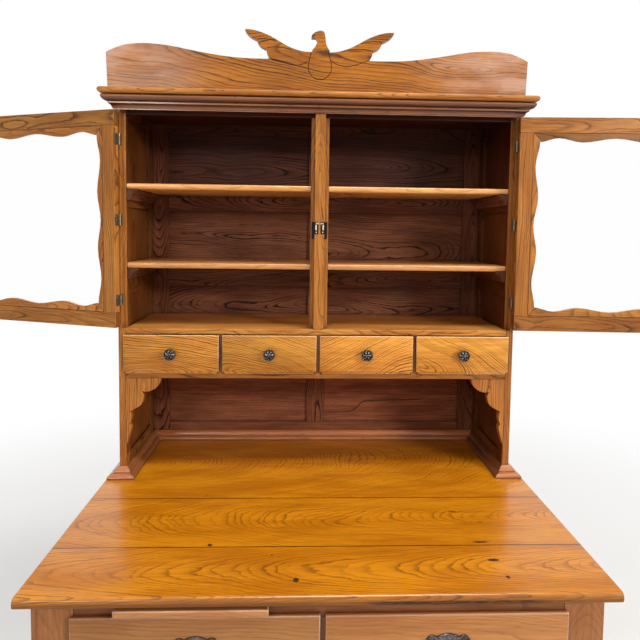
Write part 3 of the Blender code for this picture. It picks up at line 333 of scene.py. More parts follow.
class Net:
    """Short calls that add nodes to one material."""

    def __init__(self, name):
        self.material = bpy.data.materials.new(name)
        self.material.use_nodes = True
        self.nodes = self.material.node_tree.nodes
        self.links = self.material.node_tree.links
        self.shader = self.nodes["Principled BSDF"]

    def give(self, node, key, value):
        if isinstance(value, bpy.types.NodeSocket):
            self.links.new(value, node.inputs[key])
        else:
            node.inputs[key].default_value = value

    def put(self, kind, inputs, output=0, **settings):
        node = self.nodes.new("ShaderNode" + kind)
        for key, value in settings.items():
            setattr(node, key, value)
        for key, value in inputs.items():
            self.give(node, key, value)
        return node.outputs[output]

    def set(self, **inputs):
        for key, value in inputs.items():
            self.give(self.shader, key.replace("_", " "), value)

    def math(self, operation, one, two=0.0, three=0.0, clamp=False):
        inputs = {0: one, 1: two, 2: three}
        return self.put("Math", inputs, operation=operation, use_clamp=clamp)

    def add(self, one, two):
        return self.math("ADD", one, two)

    def times(self, one, two):
        return self.math("MULTIPLY", one, two)

    def vector(self, operation, one, two=(0.0, 0.0, 0.0)):
        output = 1 if operation in ("DOT_PRODUCT", "LENGTH", "DISTANCE") else 0
        return self.put("VectorMath", {0: one, 1: two}, output, operation=operation)

    def joined(self, x, y, z):
        return self.put("CombineXYZ", {0: x, 1: y, 2: z})

    def parts(self, value):
        """The three numbers of a vector or colour."""
        split = self.put("SeparateXYZ", {0: value})
        return [split.node.outputs[index] for index in range(3)]

    def attribute(self, name, output="Vector"):
        return self.put("Attribute", {}, output, attribute_name=name)

    def centred(self, value):
        """A noise made to swing about zero."""
        return self.add(value, -0.5)

    def noise(self, vector, scale=1.0, detail=2.0, rough=0.5, output=0):
        inputs = {"Vector": vector, "Scale": scale, "Detail": detail, "Roughness": rough}
        return self.put("TexNoise", inputs, output)

    def ramp(self, factor, stops, smooth=False):
        """A ramp through (place, grey) stops."""
        node = self.nodes.new("ShaderNodeValToRGB")
        node.color_ramp.interpolation = "EASE" if smooth else "LINEAR"
        elements = node.color_ramp.elements
        while len(elements) < len(stops):
            elements.new(0.5)
        for element, (place, grey) in zip(elements, stops):
            element.position = place
            element.color = (grey, grey, grey, 1)
        self.give(node, 0, factor)
        return node.outputs[0]

    def span(self, value, low, high, out_low=0.0, out_high=1.0):
        inputs = {0: value, 1: low, 2: high, 3: out_low, 4: out_high}
        return self.put("MapRange", inputs, interpolation_type="SMOOTHSTEP")

    def blend(self, factor, one, two, kind="MIX"):
        """One colour mixed with another."""
        inputs = {0: factor, 6: one, 7: two}
        return self.put("Mix", inputs, 2, data_type="RGBA", blend_type=kind, clamp_factor=True)

    def bump(self, height, distance, strength=1.0, normal=None):
        inputs = {"Height": height, "Distance": distance, "Strength": strength}
        if normal is not None:
            inputs["Normal"] = normal
        return self.put("Bump", inputs)


def rgb(red, green, blue):
    return (red, green, blue, 1.0)


# What all the woods share. Stretches are noise scales along and across the fibre
RING_STOPS = ((0.0, 0.7), (0.04, 1.0), (0.13, 0.75), (0.26, 0.3), (0.5, 0.08), (0.95, 0.0), (1.0, 0.7))
SEED_STEPS = (3.7, 1.7)
COARSE_DETAIL, RAGGED_DETAIL = 1.0, 3.0
SOFT_ROUGH, FINE_ROUGH = 0.55, 0.6
WANDER_STRETCH = (4.2, 7.5)
WANDER_DETAIL = 0.8
RIPPLE_STRETCH = (30.0, 60.0)
RIPPLE = 0.0036
YEAR_SCALE = 0.37
YEAR_UNEVEN = 2.2
PORE_STRETCH = (40.0, 640.0)
PORE_SPAN = (0.52, 0.64)
PORE_DARK = (0.3, 0.10)
FIBRE_STRETCH = (12.0, 230.0)
FIBRE_CONTRAST = 2.2
CLOUD_STRETCH = (4.0, 16.0)
CLOUD_SPAN = (0.3, 0.7)
RING_DEPTH_SCALE = (0.8, 2.3, 1.5)
RING_DEPTH_SPAN = (0.32, 0.66, 0.3, 1.0)
BREAK_STRETCH = (30.0, 90.0)
BREAK_SPAN = (0.3, 0.6, 0.6, 1.0)
BOARD_HUE = (5.3, 0.08)
# Painted sheen: its noise stretch and span
SHEEN_STRETCH = (8.0, 22.0)
SHEEN_SPAN = (0.38, 0.62, 0.25, 1.0)
END_GRAIN_SPAN = (0.75, 0.98, 0.0, 0.5)
SEAM_SPAN = (0.0, 0.55)
SEAM_DARK = 0.9
# Darkening in corners and creases: dirt and painted shade
DIRT_AND_SHADE_REACH = 0.022
DIRT_AND_SHADE_START = 0.25
DIRT_AND_SHADE_DARK = 0.6
# Lighter edges: wear, and a painted highlight on edges that face up
WEAR_AND_HIGHLIGHT_EDGE_SPAN = (0.985, 0.86)
WEAR_AND_HIGHLIGHT_CLOUD_SPAN = (0.35, 0.65)
UPWARD_HIGHLIGHT_SPAN = (-0.2, 0.3, 0.25, 1.0)
GRAIN_DEEP, PORE_DEEP, SEAM_DEEP, SWELL_HIGH = -0.5, -0.3, -1.6, 0.5
SWELL_SCALE = 38.0
RELIEF = (0.00016, 0.8)
POLISH_SCALE = 7.0
POLISH_SPAN = (0.3, 0.7)
POLISH_SPREAD = (-0.06, 0.08)
GRAIN_ROUGH = 0.12
COAT_ROUGH = 0.2
VARNISH_IOR = 1.45
# Tints of the painted shade, the painted sheen and the painted shade towards the top
SHADE_TINT = rgb(0.30, 0.23, 0.20)
SHEEN_TINT = rgb(0.66, 0.43, 0.34)
TOP_SHADE_TINT = rgb(0.42, 0.25, 0.20)
SEAM_TINT = rgb(0.024, 0.008, 0.003)
MARK_COAT_SPAN = (0.0, 0.4)
MARK_TINT = rgb(0.062, 0.024, 0.010)
DIRT_AND_SHADE_TINT = rgb(0.040, 0.014, 0.005)


def stretcher(net, u, v, w, seed):
    """A function that gives places along and across the fibre, scaled by a stretch and moved by the seed."""
    shift = net.times(seed, SEED_STEPS[0])

    def stretched(along, thick):
        scaled_u = net.add(net.times(u, along), shift)
        scaled_v = net.add(net.times(v, thick), net.times(shift, SEED_STEPS[1]))
        return net.joined(scaled_u, scaled_v, net.times(w, thick))

    return stretched


def growth_rings(net, stretched, off, heart, lean, swing):
    """The distance from a board's wandering heart, and the noise that bends the rings."""
    wandering = net.noise(stretched(*WANDER_STRETCH), detail=WANDER_DETAIL, output=1)
    wander_v, wander_w, bend = net.parts(wandering)
    u, squares = off[0], []
    for place, middle, slope, wander in zip(off[1:], heart, lean, (wander_v, wander_w)):
        away = net.add(net.add(place, middle), net.times(slope, u))
        away = net.add(away, net.times(net.centred(wander), swing))
        squares.append(net.times(away, away))
    ripple = net.noise(stretched(*RIPPLE_STRETCH), rough=SOFT_ROUGH)
    radius = net.math("SQRT", net.add(*squares))
    return net.add(radius, net.times(net.centred(ripple), RIPPLE)), bend


def wood(name, light, middle, dark, contrast, rough, gloss, coat, edge_radius=0.0010, wear_and_highlight=0.5,
         worn=None, dirt_and_shade_end=0.85, painted_sheen=0.0, table=False, shaded_to_top=False):
    """Stained, varnished wood whose growth rings run round each board's own heart, with painted shade, a
    painted sheen and painted highlights mixed into its colour.
    """
    net = Net(name)
    place = net.put("TexCoord", {}, "Object")
    fibre, facing = net.attribute("fibre"), net.attribute("facing")
    heart_v, heart_w, seed = net.parts(net.attribute("heart"))
    lean_v, lean_w, rings = net.parts(net.attribute("lean"))
    tone, swing, shade_share = net.parts(net.attribute("finish"))
    local = net.vector("SUBTRACT", place, net.attribute("middle"))
    across = net.vector("CROSS_PRODUCT", fibre, facing)
    u, v, w = (net.vector("DOT_PRODUCT", local, way) for way in (fibre, across, facing))
    stretched = stretcher(net, u, v, w, seed)
    radius, bend = growth_rings(net, stretched, (u, v, w), (heart_v, heart_w), (lean_v, lean_w), swing)
    year = net.times(radius, rings)
    uneven = net.noise(net.joined(net.times(year, YEAR_SCALE), seed, 0.0), detail=COARSE_DETAIL)
    ring = net.ramp(net.math("FRACT", net.add(year, net.times(uneven, YEAR_UNEVEN))), RING_STOPS)

    pores = net.noise(stretched(*PORE_STRETCH), rough=FINE_ROUGH)
    flecks = net.span(pores, *PORE_SPAN)
    fibres = net.noise(stretched(*FIBRE_STRETCH), rough=FINE_ROUGH)
    cloud = net.noise(stretched(*CLOUD_STRETCH), rough=SOFT_ROUGH)
    scaled = [net.times(value, scale) for value, scale in zip((year, seed, bend), RING_DEPTH_SCALE)]
    depth = net.noise(net.joined(*scaled), detail=COARSE_DETAIL)
    strength = net.span(depth, *RING_DEPTH_SPAN)
    broken = net.span(net.noise(stretched(*BREAK_STRETCH)), *BREAK_SPAN)
    grain = net.math("MULTIPLY", net.times(ring, broken), net.times(strength, contrast), clamp=True)

    tufts = net.times(net.centred(fibres), FIBRE_CONTRAST)
    colour = net.blend(net.math("ADD", net.span(cloud, *CLOUD_SPAN), tufts, clamp=True), middle, light)
    colour = net.blend(grain, colour, dark)
    colour = net.blend(net.times(flecks, net.add(net.times(ring, PORE_DARK[0]), PORE_DARK[1])), colour, dark)
    hint = net.noise(net.joined(seed, 0.0, 0.0), BOARD_HUE[0], 0.0, output=1)
    colour = net.blend(BOARD_HUE[1], colour, hint, "OVERLAY")
    colour = net.put("HueSaturation", {"Color": colour, "Value": net.add(tone, 1.0)})
    # Painted shade: each face's shade share darkens its colour
    colour = net.blend(shade_share, colour, SHADE_TINT, "MULTIPLY")
    sideways, _, rise = net.parts(net.vector("SUBTRACT", place, ORIGIN))
    # Painted sheen: paler, pinkish colour towards the crest's two ends
    if painted_sheen:
        outward = net.span(net.math("ABSOLUTE", net.add(sideways, -SHEEN_MIDDLE)), *SHEEN_REACH)
        cloudy = net.span(net.noise(stretched(*SHEEN_STRETCH), detail=RAGGED_DETAIL), *SHEEN_SPAN)
        colour = net.blend(net.times(net.times(outward, cloudy), painted_sheen), colour, SHEEN_TINT)
    # Painted shade deepening towards the top: over all of the inside wood, and on other woods as far as a
    # face has painted shade
    top_shade = net.span(rise, *TOP_SHADE_RISES)
    colour = net.blend(net.times(top_shade, 1.0 if shaded_to_top else shade_share), colour, TOP_SHADE_TINT, "MULTIPLY")

    normal = net.put("TexCoord", {}, "Normal")
    end_grain = net.span(net.math("ABSOLUTE", net.vector("DOT_PRODUCT", normal, fibre)), *END_GRAIN_SPAN)
    colour = net.blend(end_grain, colour, dark)
    # Dark joints between boards, and painted shade in the feet of the crest's carved grooves
    seam = net.span(net.attribute("seam", "Fac"), *SEAM_SPAN)
    colour = net.blend(net.times(seam, SEAM_DARK), colour, SEAM_TINT)
    marks = table_marks(net, place) if table else 0.0
    colour = net.blend(marks, colour, MARK_TINT)
    # Darker in corners and creases by ambient occlusion: dirt, and painted shade
    corner = net.put("AmbientOcclusion", {"Distance": DIRT_AND_SHADE_REACH}, "AO", samples=4)
    colour = net.blend(net.span(corner, DIRT_AND_SHADE_START, dirt_and_shade_end, DIRT_AND_SHADE_DARK, 0.0), colour, DIRT_AND_SHADE_TINT)

    # Lighter rubbed edges, kept to edges that face up: wear, and a painted highlight
    rounded = net.put("Bevel", {"Radius": edge_radius}, samples=4)
    edge = net.vector("DOT_PRODUCT", rounded, net.put("NewGeometry", {}, "Normal"))
    rubbed = net.times(net.span(edge, *WEAR_AND_HIGHLIGHT_EDGE_SPAN), net.span(cloud, *WEAR_AND_HIGHLIGHT_CLOUD_SPAN, wear_and_highlight / 3, wear_and_highlight))
    rubbed = net.times(rubbed, net.span(net.parts(rounded)[2], *UPWARD_HIGHLIGHT_SPAN))
    colour = net.blend(rubbed, colour, worn or light)

    height = net.add(net.times(grain, GRAIN_DEEP), net.times(flecks, PORE_DEEP))
    height = net.add(height, net.times(seam, SEAM_DEEP))
    height = net.add(height, net.times(net.noise(place, SWELL_SCALE, COARSE_DETAIL), SWELL_HIGH))
    polish = net.noise(place, POLISH_SCALE)
    roughness = net.span(polish, *POLISH_SPAN, *[rough + spread for spread in POLISH_SPREAD])
    net.set(Base_Color=colour, Roughness=net.add(roughness, net.times(grain, GRAIN_ROUGH)))
    net.set(Normal=net.bump(height, *RELIEF, rounded), Specular_IOR_Level=gloss, IOR=VARNISH_IOR)
    coating = net.span(marks, *MARK_COAT_SPAN, coat, 0.0) if table else coat
    net.set(Coat_Weight=coating, Coat_Roughness=COAT_ROUGH)
    return net.material


def table_marks(net, place):
    """Knots and wormholes on the worktop and the chips along its lower front edge."""
    x, y, z = net.parts(net.vector("SUBTRACT", place, ORIGIN))
    ragged = net.times(net.noise(place, MARK_RAGGED[0]), MARK_RAGGED[1])
    found = 0.0
    for across, back, half_across, half_back in TABLE_MARKS:
        off_x = net.times(net.add(x, -across), 1 / half_across)
        off_y = net.times(net.add(y, -back), 1 / half_back)
        away = net.math("SQRT", net.add(net.times(off_x, off_x), net.times(off_y, off_y)))
        found = net.math("MAXIMUM", found, net.span(net.add(away, ragged), *MARK_EDGE))
    low, high = CHIPPED_EDGE
    scaled = [net.times(value, scale) for value, scale in zip((x, z), CHIP_SCALE)]
    chips = net.noise(net.joined(scaled[0], 0.0, scaled[1]), 1.0, RAGGED_DETAIL, FINE_ROUGH)
    within = net.times(net.span(x, low, low + CHIP_FADE), net.span(x, high, high - CHIP_FADE))
    front = net.span(y, CHIP_FRONT + CHIP_DEPTH, CHIP_FRONT)
    under = net.times(front, net.span(z, CHIP_TOP, CHIP_TOP - CHIP_FADE_DOWN))
    chipped = net.times(net.times(net.span(chips, *CHIP_BITE), within), under)
    stained = net.times(under, net.span(within, 0.0, 1.0, *CHIP_STAIN))
    return net.math("MAXIMUM", found, net.math("MAXIMUM", chipped, stained))


# Spots of dirt, scuffs, hollows and rubbed edges of the metals
SPOT_SCALE, SPOT_DETAIL = 160.0, 4.0
SPOT_SPAN = (0.35, 0.65, 0.2, 1.0)
SCUFF_SCALE = 900.0
SCUFF_SPAN = (0.3, 0.7)
SCUFF_SPREAD = (-0.08, 0.14)
HOLLOW_REACH = 0.004
HOLLOW_SPAN = (0.45, 0.95)
RUB_RADIUS = 0.0007
RUB_SPAN = (0.98, 0.80)
RUB_SHARE = 0.6
SCUFF_SHARE = 0.6
BARE_SPAN = (0.0, 0.7, 0.55, 1.0)
METAL_RELIEF = (0.00008, 0.8)


def metal(name, bright, dull, rough, scale=1.0):
    """Old metal: darker and duller in its hollows, scuffed on its edges."""
    net = Net(name)
    place = net.put("TexCoord", {}, "Object")
    spots = net.noise(place, SPOT_SCALE * scale, SPOT_DETAIL, FINE_ROUGH)
    scuffs = net.noise(place, SCUFF_SCALE * scale, rough=FINE_ROUGH)
    corner = net.put("AmbientOcclusion", {"Distance": HOLLOW_REACH}, "AO", samples=4)
    worn = net.put("Bevel", {"Radius": RUB_RADIUS}, samples=4)
    edge = net.vector("DOT_PRODUCT", worn, net.put("NewGeometry", {}, "Normal"))
    rubbed = net.times(net.span(edge, *RUB_SPAN), RUB_SHARE)
    clean = net.math("ADD", net.span(corner, *HOLLOW_SPAN), rubbed, clamp=True)
    clean = net.math("MULTIPLY", clean, net.span(spots, *SPOT_SPAN), clamp=True)
    net.set(Base_Color=net.blend(clean, dull, bright), Metallic=net.span(clean, *BARE_SPAN))
    net.set(Roughness=net.span(scuffs, *SCUFF_SPAN, *[rough + spread for spread in SCUFF_SPREAD]))
    height = net.add(net.times(scuffs, SCUFF_SHARE), spots)
    net.set(Normal=net.bump(height, *METAL_RELIEF, worn))
    return net.material


GLASS_TINT = rgb(0.985, 0.99, 0.985)
GLASS_SHADE = rgb(0.98, 0.985, 0.98)
GLASS_IOR = 1.45
DUST_SCALE, DUST_DETAIL = 22.0, 4.0
DUST_SPAN = (0.4, 0.8, 0.01, 0.05)
WAVE_SCALE = 5.0
WAVE_RELIEF = (0.0006, 0.5)
GRIME_AND_SHADE_SCALE = 400.0
GRIME_AND_SHADE_TINTS = (rgb(0.02, 0.009, 0.004), rgb(0.09, 0.045, 0.02))
GRIME_AND_SHADE_ROUGH = 0.8


def window_glass():
    """Old clear glass with slight waves and a little dust."""
    net = Net("glass")
    place = net.put("TexCoord", {}, "Object")
    dust = net.span(net.noise(place, DUST_SCALE, DUST_DETAIL), *DUST_SPAN)
    net.set(Base_Color=GLASS_TINT, Roughness=dust, Transmission_Weight=1.0, IOR=GLASS_IOR)
    net.set(Normal=net.bump(net.noise(place, WAVE_SCALE, COARSE_DETAIL), *WAVE_RELIEF))
    clear = net.put("BsdfTransparent", {0: GLASS_SHADE})
    rays = net.put("LightPath", {}, "Is Shadow Ray")
    mixed = net.put("MixShader", {0: rays, 1: net.shader.outputs[0], 2: clear})
    net.links.new(mixed, net.nodes["Material Output"].inputs["Surface"])
    return net.material


def dark_gap():
    """Grime and painted shade in screw slots, grooves and cracks."""
    net = Net("grime_and_shade")
    grime_and_shade = net.noise(net.put("TexCoord", {}, "Object"), GRIME_AND_SHADE_SCALE, RAGGED_DETAIL)
    net.set(Base_Color=net.blend(grime_and_shade, *GRIME_AND_SHADE_TINTS), Roughness=GRIME_AND_SHADE_ROUGH)
    return net.material


# Light, middle and dark colour, contrast, roughness, gloss and coat, and what differs from the usual
WOOD_FACTS = {
    "oak": (
        ((0.57, 0.235, 0.050), (0.39, 0.138, 0.025), (0.080, 0.023, 0.005)),
        (1.0, 0.38, 0.2, 0.12),
        {"edge_radius": 0.0016, "wear_and_highlight": 0.6},
    ),
    # The crest, with a painted sheen on its two ends
    "oak_crest": (
        ((0.46, 0.155, 0.010), (0.29, 0.086, 0.005), (0.045, 0.012, 0.002)),
        (1.7, 0.34, 0.25, 0.25),
        {"edge_radius": 0.0016, "wear_and_highlight": 0.6, "painted_sheen": 0.5},
    ),
    # oak_front, oak_plain and oak_moulding: their worn colour on upward-facing edges is wear and a painted
    # highlight
    "oak_front": (
        ((0.74, 0.335, 0.048), (0.53, 0.210, 0.023), (0.10, 0.030, 0.005)),
        (1.6, 0.36, 0.2, 0.25),
        {"edge_radius": 0.0036, "wear_and_highlight": 2.4, "worn": rgb(1.0, 0.82, 0.56)},
    ),
    "oak_plain": (
        ((0.60, 0.250, 0.068), (0.48, 0.180, 0.044), (0.22, 0.068, 0.017)),
        (0.45, 0.36, 0.2, 0.45),
        {"edge_radius": 0.0046, "wear_and_highlight": 2.0, "worn": rgb(0.98, 0.76, 0.60)},
    ),
    "oak_leg": (
        ((0.46, 0.180, 0.060), (0.34, 0.120, 0.036), (0.15, 0.046, 0.015)),
        (0.35, 0.36, 0.2, 0.15),
        {"edge_radius": 0.0026, "wear_and_highlight": 0.6},
    ),
    "oak_moulding": (
        ((0.44, 0.155, 0.046), (0.31, 0.103, 0.029), (0.085, 0.026, 0.009)),
        (0.40, 0.34, 0.3, 0.8),
        {"edge_radius": 0.0020, "wear_and_highlight": 1.2, "worn": rgb(0.80, 0.45, 0.24), "dirt_and_shade_end": 1.0},
    ),
    "oak_shelf": (
        ((0.80, 0.400, 0.118), (0.66, 0.285, 0.066), (0.24, 0.080, 0.020)),
        (0.5, 0.30, 0.4, 0.8),
        {"edge_radius": 0.0030},
    ),
    "oak_top": (
        ((0.68, 0.255, 0.006), (0.50, 0.162, 0.003), (0.14, 0.034, 0.002)),
        (0.85, 0.36, 0.2, 0.8),
        {"table": True},
    ),
    # The inside wood: a darker copy of the oak, painted shade for the hutch's interior, deepening towards the
    # top
    "oak_inside": (
        ((0.26, 0.096, 0.044), (0.145, 0.047, 0.021), (0.014, 0.004, 0.003)),
        (1.5, 0.50, 0.2, 0.0),
        {"shaded_to_top": True},
    ),
}
WOODS = {}
for wood_name, (colours, finish, unusual) in WOOD_FACTS.items():
    made_wood = wood(wood_name, *[rgb(*colour) for colour in colours], *finish, **unusual)
    WOODS[wood_name.removeprefix("oak_")] = made_wood
METALS = {
    "brass": metal("old_brass", rgb(0.30, 0.245, 0.155), rgb(0.105, 0.082, 0.050), 0.42),
    "pewter": metal("dark_pewter", rgb(0.24, 0.215, 0.21), rgb(0.010, 0.006, 0.005), 0.30, 2.2),
    "nickel": metal("worn_nickel", rgb(0.030, 0.026, 0.026), rgb(0.008, 0.006, 0.006), 0.30),
    "screw": metal("screw_steel", rgb(0.82, 0.78, 0.68), rgb(0.52, 0.48, 0.40), 0.4),
}
GLASS = window_glass()
GRIME_AND_SHADE = dark_gap()
FASTENERS = (GRIME_AND_SHADE, METALS["screw"])


# Boards


def door_frame_matrix(word):
    """Places the frame of a door: X along the closed door from its pin, Y through its thickness."""
    side = SIDES[word]
    turn = Matrix.Rotation(OPEN[word], 4, "Z")
    flip = Matrix.Diagonal((-side, 1, 1, 1))
    return Matrix.Translation(ORIGIN + Vector((side * PIN[0], PIN[1], 0))) @ turn @ flip


def axis(letter):
    return Vector([float(letter == each) for each in "XYZ"])


# Grain of the boards that the photograph shows closely: heart across and under the face, its lean along the
# board (across, under), rings in a metre, wander, and how much lighter the board is
GRAIN = {
    ("small_drawer_1", "front"): ((0.07, 0.02), (0.10, 0.25), 190, 0.05, 0.0),
    ("small_drawer_2", "front"): ((0.08, 0.02), (0.25, 0.35), 210, 0.06, 0.02),
    ("small_drawer_3", "front"): ((0.14, 0.02), (-0.60, 0.20), 170, 0.06, 0.26),
    ("small_drawer_4", "front"): ((0.11, 0.03), (0.62, 0.30), 155, 0.14, 0.26),
    ("worktop", "board 2"): ((0.02, 0.20), (0.05, 0.25), 300, 0.03, 0.06),
    ("worktop", "board 1"): ((0.01, 0.10), (0.01, -0.13), 300, 0.025, 0.04),
    ("worktop", "board 0"): ((0.0, 0.085), (0.01, -0.09), 290, 0.02, 0.0),
    ("crest_board", "board"): ((-0.02, -0.03), (0.06, 0.10), 150, 0.05, 0.0),
    ("drawer_left", "front"): ((0.0, 0.05), (0.02, 0.03), 190, 0.03, -0.2),
    ("drawer_right", "front"): ((0.0, 0.05), (0.02, 0.03), 190, 0.03, 0.0),
    ("cornice_ledge", "board"): ((0.1, 0.05), (0.01, 0.02), 330, 0.03, -0.02),
    ("bread_board", "board"): ((0.1, 0.10), (0.01, 0.02), 330, 0.03, 0.08),
    ("deck", "board"): ((0.2, 0.10), (0.01, 0.02), 330, 0.03, 0.22),
    ("door_left_frame", "stile False"): ((0.0, 0.030), (0.02, 0.08), 210, 0.05, -0.03),
    ("door_left_frame", "stile True"): ((0.01, 0.03), (0.02, 0.08), 210, 0.05, -0.03),
    ("door_left_frame", "top rail"): ((0.0, 0.03), (0.03, 0.04), 200, 0.04, -0.18),
    ("door_right_frame", "stile False"): ((0.005, 0.03), (-0.02, 0.04), 200, 0.04, -0.12),
    # The niche's right-hand panel lighter than the rest of the inside wood: less painted shade
    ("hutch_back", "panel 0 True"): ((-0.3, 0.10), (0.02, 0.03), 330, 0.03, 0.55),
    # The top row of back panels darker: painted shade under the hutch's top
    ("hutch_back", "panel 3 False"): ((0.02, 0.03), (0.02, 0.05), 160, 0.05, -0.3),
    ("hutch_back", "panel 3 True"): ((0.0, 0.02), (0.02, 0.15), 160, 0.05, -0.3),
}
# Boards of a usual grain, of which the photograph gives how much lighter they are
USUAL_GRAIN = (
    (
        ((0.0, 0.03), (0.01, 0.02), 200, 0.03),
        {
            # The rail under the cornice darker: painted shade
            "hutch_top_rail": {"board": -0.3},
            # The face frame's top rail darker: painted shade under the worktop's overhang
            "face_frame": {"top rail": -0.35},
            "base_moulding": {
                "front False": 0.35, "front True": 0.6, "back": 0.45, "side False False": -0.15,
                "side True False": -0.55,
            },
            # The drawer floor's dividers darker: painted shade in the gaps between the small drawers
            "drawer_floor": {"divider -3": -0.35, "divider 0": -0.35, "divider 3": -0.35, "board": -0.15},
            "shelf_upper": {"board": 0.1},
            "shelf_lower": {"board": -0.1},
        },
    ),
    (
        ((0.0, 0.03), (0.01, 0.03), 200, 0.03),
        {
            "bracket_left": {"board": 0.0},
            "bracket_right": {"board": 0.0},
            # The right-hand front stile a little darker: painted shade from the open right door
            "hutch_side_right": {"front stile": -0.1},
        },
    ),
    (
        ((0.0, 0.03), (0.03, 0.05), 190, 0.04),
        {
            "door_right_frame": {"low rail": -0.32, "top rail": -0.2},
            "door_right_fillet": {"high": -0.5},
        },
    ),
    # The niche's left-hand panel and low rail lighter than the rest of the inside wood: less painted shade
    (((0.3, 0.10), (0.02, 0.03), 330, 0.03), {"hutch_back": {"panel 0 False": 0.5, "rail 0": 0.3}}),
)
for usual, pieces in USUAL_GRAIN:
    for piece, tones in pieces.items():
        GRAIN.update({(piece, key): (*usual, tone) for key, tone in tones.items()})
# Pieces of one board: their wood and the way of their fibre
SINGLE_BOARDS = {
    "cornice_ledge": ("oak", "X"),
    "deck": ("oak", "X"),
    "shelf_upper": ("shelf", "X"),
    "shelf_lower": ("shelf", "X"),
    "mullion": ("oak", "Z"),
    # The boards below that take the inside wood have its painted shade
    "hutch_top_board": ("inside", "X"),
    "dust_board": ("inside", "X"),
    "hutch_top_rail": ("inside", "X"),
    "case_partition": ("inside", "Y"),
    "bread_tray": ("inside", "Y"),
    "bread_board": ("plain", "X"),
}
# What chance gives the other boards
HEART_SHARE = 0.3
HEART_WIDTH = 0.15
HEART_DEPTHS = (0.012, 0.045)
LEAN_ACROSS = (-0.03, 0.03)
LEAN_UNDER = (0.02, 0.12)
RINGS = (170, 230)
SWINGS = (0.03, 0.06)
TONES = (-0.09, 0.09)
SEEDS = (1, 40)


def board_facts(name, key, width):
    """A board's heart, lean and finish, chosen at random but always alike unless GRAIN gives them."""
    dice = random.Random(f"{name} {key}")
    across = dice.uniform(-HEART_SHARE, HEART_SHARE) * min(width, HEART_WIDTH)
    heart = (across, dice.choice((-1, 1)) * dice.uniform(*HEART_DEPTHS))
    lean = (dice.uniform(*LEAN_ACROSS), dice.choice((-1, 1)) * dice.uniform(*LEAN_UNDER))
    rings, swing, tone = dice.uniform(*RINGS), dice.uniform(*SWINGS), dice.uniform(*TONES)
    heart, lean, rings, swing, tone = GRAIN.get((name, key), (heart, lean, rings, swing, tone))
    return (*heart, dice.uniform(*SEEDS)), (*lean, rings), tone, swing


def give_boards(mesh, members, shade_shares, frame_matrix, name):
    """Writes each face's board facts, from the face's (key, fibre letter) member."""
    turn = frame_matrix.to_3x3()
    inverse = frame_matrix.inverted()
    boxes = {}
    for polygon, member in zip(mesh.polygons, members):
        points = [inverse @ mesh.vertices[index].co for index in polygon.vertices]
        boxes.setdefault(member, []).extend(points)
    facts = {}
    for member, points in boxes.items():
        low = Vector([min(p[k] for p in points) for k in range(3)])
        high = Vector([max(p[k] for p in points) for k in range(3)])
        fibre = "XYZ".index(member[1])
        others = sorted((k for k in range(3) if k != fibre), key=lambda k: (high - low)[k])
        heart, lean, tone, swing = board_facts(name, member[0], (high - low)[others[1]])
        grain_way, face_way = turn @ axis("XYZ"[fibre]), turn @ axis("XYZ"[others[0]])
        facts[member] = (grain_way, face_way, frame_matrix @ ((low + high) / 2), heart, lean, (tone, swing))
    for index, attribute in enumerate(("fibre", "facing", "middle", "heart", "lean")):
        layer = mesh.attributes.new(attribute, "FLOAT_VECTOR", "FACE")
        layer.data.foreach_set("vector", [value for member in members for value in facts[member][index]])
    # finish holds the board's tone and wander and each face's share of painted shade
    layer = mesh.attributes.new("finish", "FLOAT_VECTOR", "FACE")
    rows = [(*facts[member][5], shade_share) for member, shade_share in zip(members, shade_shares)]
    layer.data.foreach_set("vector", [value for row in rows for value in row])


def cut_copy(node, planes, frame_matrix, gap):
    """A welded copy of a node's mesh, cut along planes given as (point, normal) in the frame."""
    shape = bmesh.new()
    shape.from_mesh(frame["nodes"][node].data)
    bmesh.ops.remove_doubles(shape, verts=shape.verts, dist=WELD)
    turn = frame_matrix.to_3x3()
    for point, normal in planes:
        where, way = frame_matrix @ Vector(point), (turn @ Vector(normal)).normalized()
        for nudge in (-gap, gap, 0):
            geometry = [*shape.verts, *shape.edges, *shape.faces]
            place = where + way * nudge
            bmesh.ops.bisect_plane(shape, geom=geometry, plane_co=place, plane_no=way, dist=CUT_WELD)
    return shape


def straight(letter, *places):
    """Cutting planes square to an axis."""
    return [(axis(letter) * place, axis(letter)) for place in places]


def linked(name, data):
    """A new object in the scene."""
    made = bpy.data.objects.new(name, data)
    bpy.context.scene.collection.objects.link(made)
    return made


def loose(name, shape):
    """An object of a shape, with nothing more to it yet."""
    mesh = bpy.data.meshes.new(name)
    shape.to_mesh(mesh)
    shape.free()
    return linked(name, mesh)


def put(name, shape, material, body, smooth=None, others=()):
    """A piece that rides on a body. Faces of material index 1 and more take the other materials."""
    made = loose(name, shape)
    mesh = made.data
    for old in ("custom_normal", "sharp_edge", "sharp_face"):
        if old in mesh.attributes:
            mesh.attributes.remove(mesh.attributes[old])
    mesh.materials.clear()
    mesh.materials.append(material)
    for other in others:
        mesh.materials.append(other)
    if smooth:
        mesh.shade_smooth()
        mesh.set_sharp_from_angle(angle=math.radians(smooth))
    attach(made, body)
    return made


def body_of(node):
    for body, members in frame["record"]["behaviour"]["bodies"].items():
        if node in members:
            return body
    raise KeyError(node)


def slot_of(node):
    for entry in frame["record"]["subparts"]:
        if entry["node"] == node:
            return entry["material_slot"]
    raise KeyError(node)


